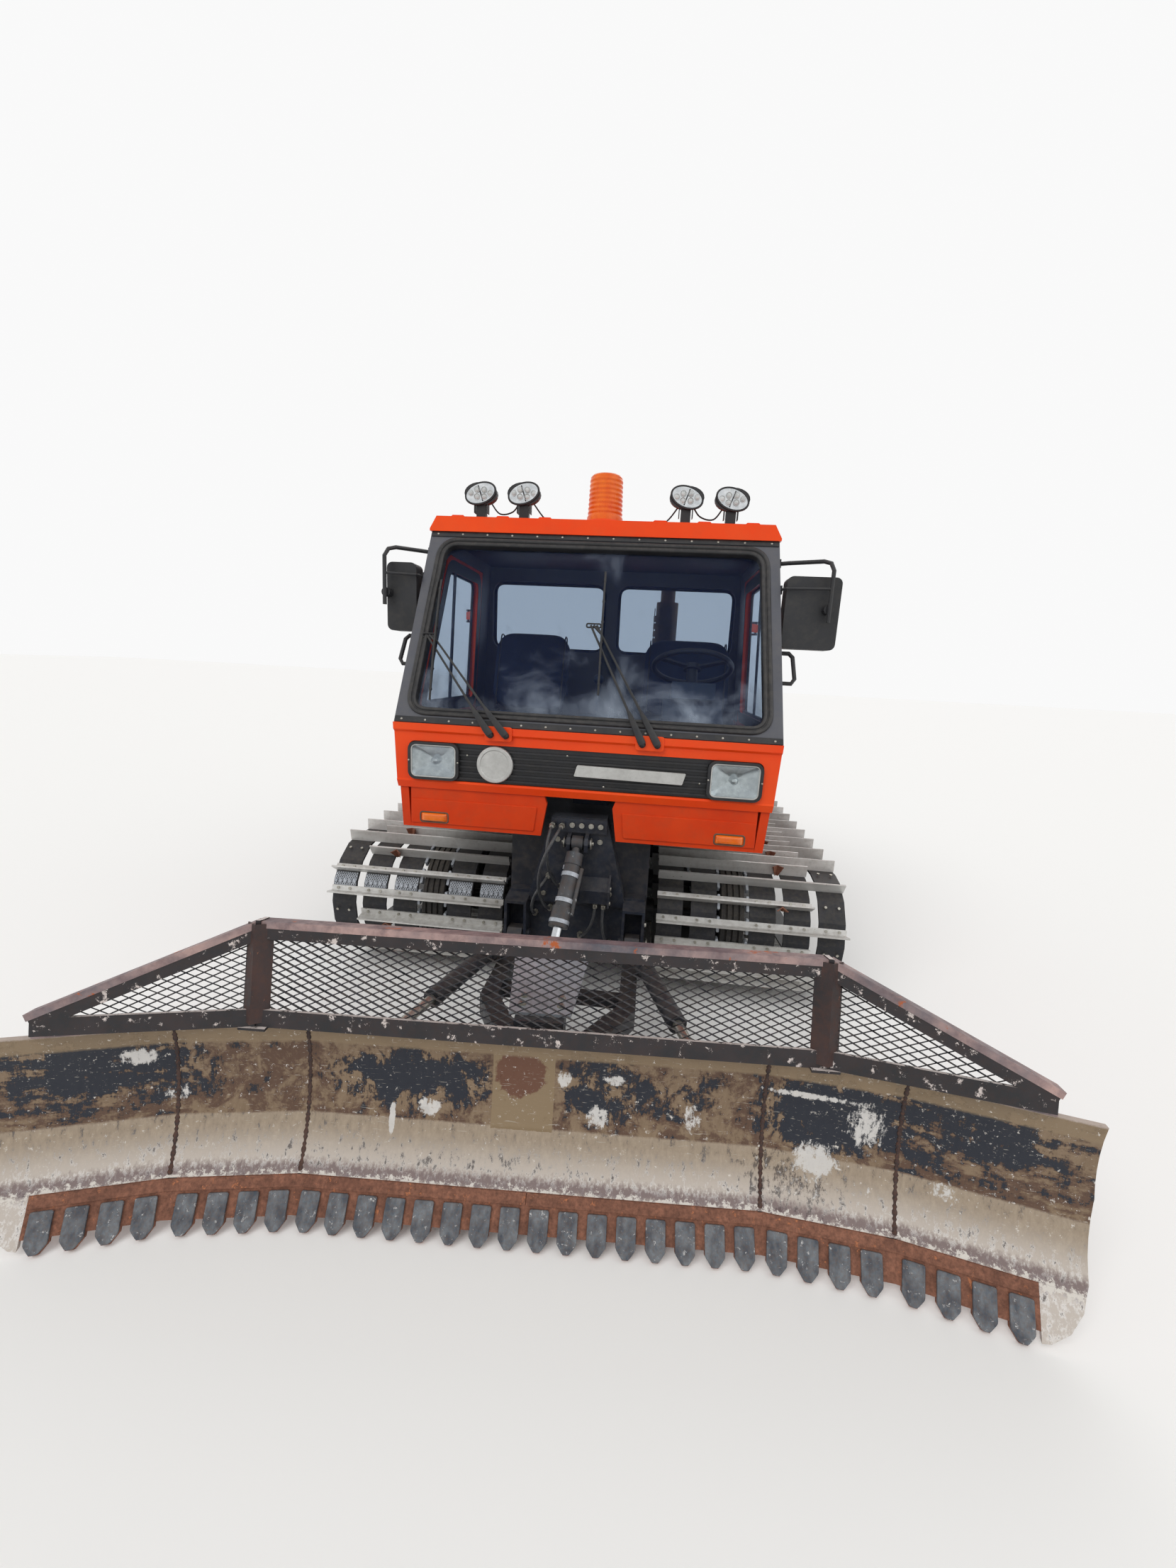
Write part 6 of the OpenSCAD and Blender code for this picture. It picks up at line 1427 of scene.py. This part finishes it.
@dataclass
class RoofGear:
    """Ringed beacon, lamp faces, their wires and the mirrors' glasses."""

    roof_top: float = 2264.0
    beacon_y: float = 420.0
    lamps: tuple[Vec, ...] = ((372.0, 360.0, 2385.0), (572.0, 350.0, 2379.0))
    lamp_w: float = 154.0
    lamp_h: float = 98.0
    mirrors: tuple[Vec, ...] = ((-1.0, 884.0, 138.0), (1.0, 928.0, 226.0))

    def beacon(self) -> Part:
        """Return the beacon: a wide foot, then a slim cone with a ring every 20 mm, closed by a cap."""
        z = np.linspace(30, 188, 97)
        cone = 80 - 5 * (z - 30) / 158 + 1.5 * np.cos(2 * np.pi * z / 19.8)
        rows = [(0, 0), (84, 0), (84, 20), (82, 24), *zip(cone, z), (74, 193), (66, 202), (40, 206),
                (0, 207.5)]
        return put(move(0, self.beacon_y, self.roof_top + 22), lathe(rows, 64))

    def fronts(self, ahead: float) -> Array:
        """Return a frame that looks forward at a distance from each lamp's middle."""
        return stand([[x, y + ahead, z] for x, y, z in self.lamps], (0, -1, 0))

    def faces(self) -> Part:
        """Return the lamps' bright fields: a shallow oval dish in front of each lamp."""
        s = np.linspace(1, 0.02, 8)[:, None]
        x, y = (circle(1, 40) * [self.lamp_w / 2 - 9, self.lamp_h / 2 - 9]).T
        dish = np.stack([s * x, s * y, np.repeat(1.0 + 4 * s**2, 40, 1)], -1)
        return both(copies(skin(dish, False), self.fronts(-26)))

    def rims(self) -> Part:
        """Return the rims round the lamps' fields, a bead along each oval."""
        o = circle(1, 40) * [self.lamp_w / 2 - 5, self.lamp_h / 2 - 5]
        bead = sweep(np.c_[o, np.ones(40)], circle(4.8, 8), closed=True)
        rib = prism(rounded(rect(0, 0, 5, self.lamp_h - 26), 2, 2), 1, 5)
        foot = merge([put(move(s * 30, 0, 0), prism(rect(0, 0, 4, 34), -20, 34)) for s in (-1, 1)])
        yoke = [put(move(x, y - 5, z - self.lamp_h / 2 - 14), foot) for x, y, z in self.lamps]
        return both(merge([copies(merge([bead, rib]), self.fronts(-26)), *yoke]))

    def emitters(self) -> Part:
        """Return six domed emitters in each lamp, each in its own ring."""
        dome = lathe([(0, 7), (5, 6.5), (9, 4.5), (11.5, 1), (12.5, 4), (14, 4.5), (15, 0)], 16)
        spots = [[x + dx, y - 27, z + dz] for x, y, z in self.lamps for dx in (-46, -17, 17, 46)
                 for dz in ((-15, 15) if abs(dx) < 20 else (0,))]
        return both(copies(dome, stand(spots, (0, -1, 0))))

    def wires(self) -> Part:
        """Return the lamps' leads: thin tubes that hang from lamp to lamp and into the roof."""
        a, b = np.array(self.lamps)
        roof = np.array([*a[:2], self.roof_top])
        routes = ([a + [30, 34, -20], a + [70, 60, -60], b + [-70, 60, -66], b + [-30, 34, -20]],
                  [a + [-30, 34, -20], a + [-70, 60, -70], roof + [-110, 50, 14], roof + [-130, 50, 8]])
        return merge([sweep(curve(np.array(route) * [side, 1, 1]), circle(3.5, 8), up=(0.1, 1, 0.2))
                      for side in (-1, 1) for route in routes])

    def mirror_glass(self) -> Part:
        """Return the mirrors' glasses on the rear of their housings."""
        glass = [rounded(rect(side * x, 1890, w - 22, 276), 18, 5) for side, x, w in self.mirrors]
        return put(turn("x", 90), merge([prism(outline, -239.5, -238) for outline in glass]))

    def build(self, shop: Workshop) -> None:
        """Make the pieces on the roof and the mirrors' glasses."""
        shop.fit("ringed_beacon", self.beacon(), "dome", smooth=80, stands_for=("beacon",))
        shop.fit("lamp_fields", self.faces(), "reflector", smooth=60)
        shop.fit("lamp_rims", self.rims(), "plastic", smooth=50)
        shop.fit("lamp_emitters", self.emitters(), "emitter", smooth=60)
        shop.fit("lamp_wires", self.wires(), "plastic", smooth=60)
        shop.fit("mirror_glasses", self.mirror_glass(), "chrome")


@dataclass
class Tower:
    """Fittings, bolts and bands of the front tower and its lift cylinder."""

    face: float = -22.0
    lift_top: Vec = (0.0, -60.0, 861.0)
    lift_low: Vec = (-75.0, -443.0, 325.0)
    arm_x: float = 265.0
    hinge: Vec = (-50.0, 410.0)

    def lift(self) -> Array:
        """Return the lift cylinder's frame: Z along it from its upper pin."""
        return stand([self.lift_top], np.subtract(self.lift_low, self.lift_top))[0]

    def fittings(self) -> Part:
        """Return the hoses' ferrules and swivel nuts, at each end of each hose."""
        ferrule = merge([lathe([(0, 0), (10, 0), (10, 6), (11.5, 8), (11.5, 26), (9, 30), (0, 30)], 16),
                         prism(circle(14, 6), -3, 9)])
        ahead = [(-113, -66.5, 936), (-71.2, -66.5, 936), (-72, -22.5, 645), (-118, -2.5, 530),
                 (-128, -22.5, 690), (-186, -2.5, 500), (25, -2.5, 410), (162, -2.5, 382)]
        places = [*stand(ahead, (0, -1, 0)), *stand([(91, -50, 591), (128, -52, 591)], (0, 0, -1))]
        return copies(ferrule, places @ move(0, 0, 3))

    def bolts(self) -> Part:
        """Return the bolts on the manifold, the tower's foot, the valve box and the brackets."""
        head = hexagon_bolt(9, 9)
        spots = [[-113 + 41.8 * i, -48.0, 936] for i in range(2, 6)]
        spots += [[x, self.face, z] for x, z in ((-150, 600), (150, 620), (-95, 860), (95, 860))]
        spots += [[s * x, -2, z] for s in (-1, 1) for x, z in ((290, 350), (290, 560), (190, 350))]
        box = [[150, y, z] for y, z in ((-80, 600), (-60, 660))]
        side = [[self.arm_x + d + 0.2, self.hinge[0] + 4, self.hinge[1] + 90] for d in (-50, 50)]
        return merge([copies(head, stand(spots, (0, -1, 0))), copies(head, stand(box + side, (1, 0, 0)))])

    def pin_caps(self) -> Part:
        """Return the retaining plates and bolts on the pins' ends."""
        cap = merge([lathe([(0, 6), (22, 6), (26, 3), (26, 0)], 24), put(move(0, 0, 5), hexagon_bolt(8, 8))])
        ends = [[57.0, *self.lift_top[1:]], [self.arm_x + 62, *self.hinge]]
        return both(copies(cap, stand(ends, (1, 0, 0))))

    def bands(self) -> Part:
        """Return the cylinder's clamp bands, its oil line's unions and its gland's ring."""
        band = lathe([(35, -9), (37.5, -9), (37.5, 9), (35, 9)], 40)
        rings = [put(move(0, 0, z), band) for z in (150, 262)]
        gland = put(move(0, 0, 352), lathe([(41, -8), (43, -8), (43, 8), (41, 8)], 40))
        line = [put(move(12, 39, z), prism(circle(15, 6), -9, 9)) for z in (112, 302)]
        return put(self.lift(), merge([*rings, gland, *line]))

    def build(self, shop: Workshop) -> None:
        """Make the pieces of the tower and the lift cylinder."""
        shop.fit("hose_fittings", self.fittings(), "zinc", smooth=40)
        shop.fit("tower_bolts", self.bolts(), "zinc")
        shop.fit("pin_caps", self.pin_caps(), "zinc", smooth=40)
        shop.fit("cylinder_bands", self.bands(), "galvanised", Body.BARREL, smooth=40)


@dataclass
class Hoses:
    """Five hydraulic hoses between the manifold, the valve box and the tower's plates."""

    diameter: float = 14.0
    # Start, way out and handle there, end and handle there, bow to the side
    routes: tuple[tuple[Vec, Vec, float, Vec, float, float], ...] = (
        ((-113, -66.3, 936), (0, -1, 0), 150, (-72, -22.3, 645), 130, -24),
        ((-71.2, -66.3, 936), (0, -1, 0), 215, (-118, -2.3, 530), 170, -52),
        ((-128, -22.3, 690), (0, -1, 0), 110, (-186, -2.3, 500), 120, -26),
        ((91, -50, 591.7), (0, 0, -1), 55, (25, -2.3, 410), 115, 16),
        ((128, -52, 591.7), (0, 0, -1), 50, (162, -2.3, 382), 115, -14))

    def centreline(self, start: Vec, way: Vec, lead: float, end: Vec, tail: float, bow: float) -> Array:
        """Return a cubic Bezier square to both fittings, plus bow times sin(pi t) squared to the side."""
        p = np.array([start, np.add(start, np.multiply(way, lead)), np.add(end, (0, -tail, 0)), end], float)
        t = np.linspace(0, 1, 33)[:, None]
        line = (1 - t) ** 3 * p[0] + 3 * t * (1 - t) ** 2 * p[1] + 3 * t**2 * (1 - t) * p[2] + t**3 * p[3]
        line[:, :1] += bow * np.sin(math.pi * t) ** 2
        return (line - [0, DATUM, 0]) * MM

    def build(self, shop: Workshop) -> None:
        for number, route in enumerate(self.routes, 1):
            path = self.centreline(*route)
            data = bpy.data.curves.new(f"hose_{number}", "CURVE")
            data.dimensions, data.bevel_depth, data.bevel_resolution = "3D", self.diameter / 2 * MM, 3
            data.use_fill_caps = True
            line = data.splines.new("POLY")
            line.points.add(len(path) - 1)
            line.points.foreach_set("co", np.c_[path, np.ones(len(path))].ravel())
            piece = linked(data.name, data)
            data.materials.append(shop.finish("hose"))
            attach(piece, Body.VEHICLE.value)
            if number == 1:
                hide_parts("hoses")


@dataclass
class Interior:
    """Padded seats, binnacle, gauges, switches and the roof's lining in the cab."""

    seats: tuple[Vec, ...] = ((-450.0, 440.0), (470.0, 490.0))
    base_z: float = 1230.0
    top_z: float = 1360.0

    def corners(self, drop: float) -> list[Any]:
        """Return the corners in Y and Z of a cushion, its top lowered by a drop, and of a backrest."""
        low, high, back = self.base_z + 2, self.top_z - drop, self.top_z + 6
        return [[[565, low], [1045, low], [1045, high], [565, high]],
                [[922, back], [1040, back], [1132, 1785], [1052, 1795]]]

    def pad(self, corners: Any, x: float, w: float, radius: float, crown: float) -> Part:
        """Return a pad: a rounded outline of Y and Z carried across X, drawn in at both ends.

        At distance u from the middle, in half widths, the outline is scaled about its middle by
        1 - 0.35 u^8 and moved out along its own direction by the crown times 1 - u^4.

        Args:
            corners: Outline's corners in Y and Z.
            x: Middle across the vehicle.
            w: Width.
            radius: Rounding of the corners.
            crown: How far the middle swells.

        Returns:
            The pad.
        """
        o = rounded(corners, radius, 6)
        middle = o.mean(0)
        away = unit(o - middle)
        u = np.sin(np.linspace(-np.pi / 2, np.pi / 2, 33))[:, None, None]
        ring = middle + (o - middle) * (1 - 0.35 * np.abs(u) ** 8) + away * crown * (1 - u**4) * 0.5
        points = np.concatenate([np.broadcast_to(x + u * w / 2, ring[..., :1].shape), ring], -1)
        return skin(points)

    def piping(self) -> Part:
        """Return the piped seams along both ends of each pad."""
        out = []
        for x, w in self.seats:
            for corners, r in zip(self.corners(18), (40, 34)):
                o = rounded(corners, r, 6)
                o = o.mean(0) + (o - o.mean(0)) * 0.985
                for s in (-1, 1):
                    path = np.c_[np.full(len(o), x + s * (w / 2 - 26)), o]
                    out.append(sweep(path, circle(4.0, 6), up=(1, 0, 0), closed=True))
        return merge(out)

    def dash(self) -> Part:
        """Return the binnacle over the column and the shelf's raised edge."""
        hood = [[352, 1478], [300, 1556], [180, 1575], [150, 1500], [200, 1502], [330, 1482]]
        return merge([put(turn("z", 90) @ turn("x", 90), prism(hood, 362, 558)),
                      sweep([[-718, 162, 1352], [-200, 162, 1352], [330, 162, 1352]], circle(9, 10))])

    def dials(self) -> Part:
        """Return the round gauges and a row of rocker switches."""
        rim = lathe([(0, 2), (27, 2), (28, 6), (32, 6), (33, 0)], 28)
        panel = move(460, 318, 1530) @ turn("x", -58)
        gauges = [put(panel @ move(dx, 12, 0), rim) for dx in (-48, 28)]
        switch = prism(rounded(rect(0, 0, 20, 34), 3, 2), 0, 7)
        rows = [put(move(x, 90, 1366) @ turn("x", 10), switch) for x in range(-420, 300, 60)]
        return merge([*gauges, *rows])

    def lining(self) -> Part:
        """Return the roof's lining, a thin board under it."""
        return prism(rounded(rect(0, 760, 1492, 830), 20, 3), 2187, 2196)

    def build(self, shop: Workshop) -> None:
        """Make the seats and the parts round them."""
        cushion, back = self.corners(22)
        for number, (x, w) in enumerate(self.seats, 1):
            for name, corners, radius, crown in (("cushion", cushion, 40, 18), ("backrest", back, 34, 12)):
                part = self.pad(corners, x, w, radius, crown)
                stands_for = ("seat_cushions",) if (name, number) == ("cushion", 1) else ()
                piece = shop.fit(f"seat_{name}_{number}", part, "cloth", smooth=180, stands_for=stands_for)
                edge = piece.modifiers.new("soft", "SUBSURF")
                edge.levels = edge.render_levels = 1
        shop.fit("seat_piping", self.piping(), "seal", smooth=60)
        shop.fit("binnacle", self.dash(), "dash", bevel=4.0)
        shop.fit("roof_lining", self.lining(), "dash")
        shop.fit("dials_and_switches", self.dials(), "plastic", bevel=0.8, smooth=40)


@dataclass
class Rear:
    """Door trim, deck fittings, exhaust shield and rear lamps."""

    deck_z: float = 1120.0
    deck_rear: float = 3740.0
    waist_z: float = 1347.0
    waist_w: float = 822.0
    # How far the side wall draws in above and below the waist, and over which height
    upper: Vec = (36.0, 852.0)
    lower: Vec = (32.0, 465.0)
    pane: Vec = (1402.0, 2063.0)
    hood: Vec = (1500.0, 2380.0, 560.0, 1415.0)
    stack: Vec = (338.0, 1380.0, 68.0, 1160.0)

    def wall(self, z: Array) -> Array:
        """Return the side wall's X at heights above the waist or below it."""
        up = z - self.waist_z
        return self.waist_w - np.where(up > 0, self.upper[0] * up / self.upper[1],
                                       -self.lower[0] * up / self.lower[1])

    def door_seal(self) -> Part:
        """Return the rubber round a door's window, which follows the wall's lean, and the trim inside it."""
        low, high = self.pane
        front, lean = 143.0, 361 / 852
        ahead = [front + lean * (z - self.waist_z) for z in self.pane]
        o = rounded([[ahead[0], low], [938, low], [938, high], [ahead[1], high]], 50, 8)
        path = np.c_[self.wall(o[:, 1]) + 1.0, o]
        ridge = [[-12, -9], [-12, 2], [-6, 5], [4, 5], [14, 3], [16, -1], [0, -1.2], [-2, -9]]
        inside = np.c_[self.wall(o[:, 1]) - 38.0, o]
        return merge([sweep(path, ridge, up=(1, 0, 0.04), closed=True),
                      sweep(inside, rect(18, 0, 56, 2.4), up=(1, 0, 0.04), closed=True)])

    def sliders(self) -> Part:
        """Return the sliding panes' middle bars and the frames' lower channel."""
        z, y = np.linspace(*self.pane, 4), np.linspace(270, 935, 4)
        bar = sweep(np.c_[self.wall(z) - 12, 0 * z + 590, z], rect(0, 0, 26, 9), up=(1, 0, 0))
        at = self.wall(np.array(self.pane[0] + 8)) - 14
        rail = sweep(np.c_[0 * y + at, y, 0 * y + self.pane[0] + 10], rect(0, 0, 12, 20))
        return merge([bar, rail])

    def latch(self) -> Part:
        """Return a door's recessed latch plate and its key barrel."""
        plate = prism(rounded(rect(-170, 1367, 130, 54), 10, 4), 0.5, 4)
        barrel = put(move(-252, 1367, 0), lathe([(0, 9), (9, 9), (11, 6), (11, 0)], 20))
        turned = np.array([[0, 0, 1, 822.0], [-1, 0, 0, 0], [0, 1, 0, 0], [0, 0, 0, 1]])
        return put(turned, merge([plate, barrel]))

    def rear_seals(self) -> Part:
        """Return the rubber round each rear window."""
        o = rounded(rect(384.9, 1907.5, 699.7, 405), 70, 8)
        ridge = [[-12, -8], [-12, 2], [-6, 6], [4, 6], [16, 3], [18, 0.1], [0, 0.1], [-2, -8]]
        return both(sweep(upright(o, 1210), ridge, up=(0, 1, 0), closed=True))

    def lozenges(self) -> Part:
        """Return the deck's raised lozenges, turned by turns one way and the other."""
        lozenge = (np.array([[-14, 0, 0], [0, -4.5, 0], [14, 0, 0], [0, 4.5, 0], [0, 0, 2.4]], float),
                   [np.array([[0, 1, 4], [1, 2, 4], [2, 3, 4], [3, 0, 4]])])
        x, y = (g.ravel() for g in np.meshgrid(np.arange(-768, 780, 48.0), np.arange(2470, 3720, 48.0)))
        side = ((x + y) / 48 % 2 < 1)
        spots = [move(a, b, self.deck_z + 0.1) @ turn("z", 45 if s else -45) for a, b, s in zip(x, y, side)]
        return copies(lozenge, spots)

    def louvres(self) -> Part:
        """Return the engine cover's air louvres."""
        y0, y1, _, top = self.hood
        slot = np.array([[-16, 0], [16, 0], [14, 3], [-6, 12], [-12, 11]], float)
        return merge([sweep([[s * 90, y, top], [s * 250, y, top], [s * 410, y, top]], slot)
                      for s in (-1, 1) for y in np.arange(y0 + 190, y1 - 190, 55)])

    def hood_handle(self) -> Part:
        """Return the cover's rear grab bar."""
        bar = [[-110, 10, -16], [-106, 40, -14], [0, 44, -14], [106, 40, -14], [110, 10, -16]]
        return sweep(curve(np.add(bar, [0, self.hood[1], self.hood[3]])), circle(8, 10))

    def shield(self) -> Part:
        """Return the exhaust's heat shield: half a tube with rows of slots, held by five upright straps."""
        x, y, r, z = self.stack
        a = np.radians(np.linspace(70, 290, 23))
        rows = []
        for h in np.arange(90, 820, 46.0):
            arc = np.stack([x + np.cos(a) * (r + 12), y + np.sin(a) * (r + 12), 0 * a + z + h], -1)
            rows.append(sweep(arc, np.array([[-1.2, -16], [1.2, -16], [1.2, 16], [-1.2, 16]])))
        for angle in np.radians([74, 128, 180, 232, 286]):
            way = np.array([math.cos(angle), math.sin(angle), 0])
            rod = [way * (r + 8) + [x, y, z + h] for h in (60, 450, 845)]
            rows.append(sweep(rod, rect(0, 0, 12, 5), up=way))
        return merge(rows)

    def tail_lenses(self) -> Part:
        """Return the rear lamps' lenses: pillows with a step between their fields."""
        def pillow(u: Array, v: Array) -> Array:
            """Return the lens's points."""
            a, b = 2 * u - 1, 2 * v - 1
            rise = 22 * (1 - np.abs(a) ** 8) * (1 - np.abs(b) ** 8) - 2.5 * np.exp(-((a / 0.03) ** 2))
            return np.stack([690 + 73 * a, self.deck_rear - 31 + rise, 1020 + 33 * b], -1)
        return both(grid(pillow, 41, 17))

    def hitch_pin(self) -> Part:
        """Return the hitch's pin with its collar."""
        pin = lathe([(0, 455), (15, 455), (15, 590), (24, 590), (24, 602), (0, 602)], 24)
        return put(move(0, 3630, 0), merge([pin, lathe([(0, 440), (12, 443), (15, 455)], 24)]))

    def build(self, shop: Workshop) -> None:
        """Make the pieces of the doors, the deck and the rear."""
        for name, part, finish, bevel, smooth in (("door_seal", self.door_seal(), "seal", 0.0, 60.0),
                                                  ("slider", self.sliders(), "anthracite", 1.0, 30.0),
                                                  ("latch", self.latch(), "plastic", 1.0, 30.0)):
            shop.fit(f"{name}_right", part, finish, Body.RIGHT_DOOR, bevel, smooth)
            shop.fit(f"{name}_left", mirrored(part), finish, Body.LEFT_DOOR, bevel, smooth)
        shop.fit("rear_seals", self.rear_seals(), "seal", smooth=60)
        shop.fit("deck_lozenges", self.lozenges(), "tread")
        shop.fit("hood_louvres", self.louvres(), "orange", Body.HOOD, bevel=1.0)
        shop.fit("hood_handle", self.hood_handle(), "plastic", Body.HOOD, smooth=60)
        shop.fit("exhaust_shield", self.shield(), "exhaust")
        shop.fit("tail_lenses", self.tail_lenses(), "red", smooth=60, stands_for=("tail_lamps",))
        shop.fit("hitch_pin", self.hitch_pin(), "zinc", smooth=40)


def main() -> None:
    """Load the frame, dress it and build every sub-assembly in order."""
    logging.basicConfig(level=logging.INFO, format="%(message)s")
    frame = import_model()
    Stage().build()
    shop = Workshop(frame["nodes"])
    for assembly in (Hoses(), Tower(), Blade(), Tracks(), CabFront(), RoofGear(), Interior(), Rear()):
        log.info("building %s", type(assembly).__name__)
        assembly.build(shop)


if __name__ == "__main__":
    main()
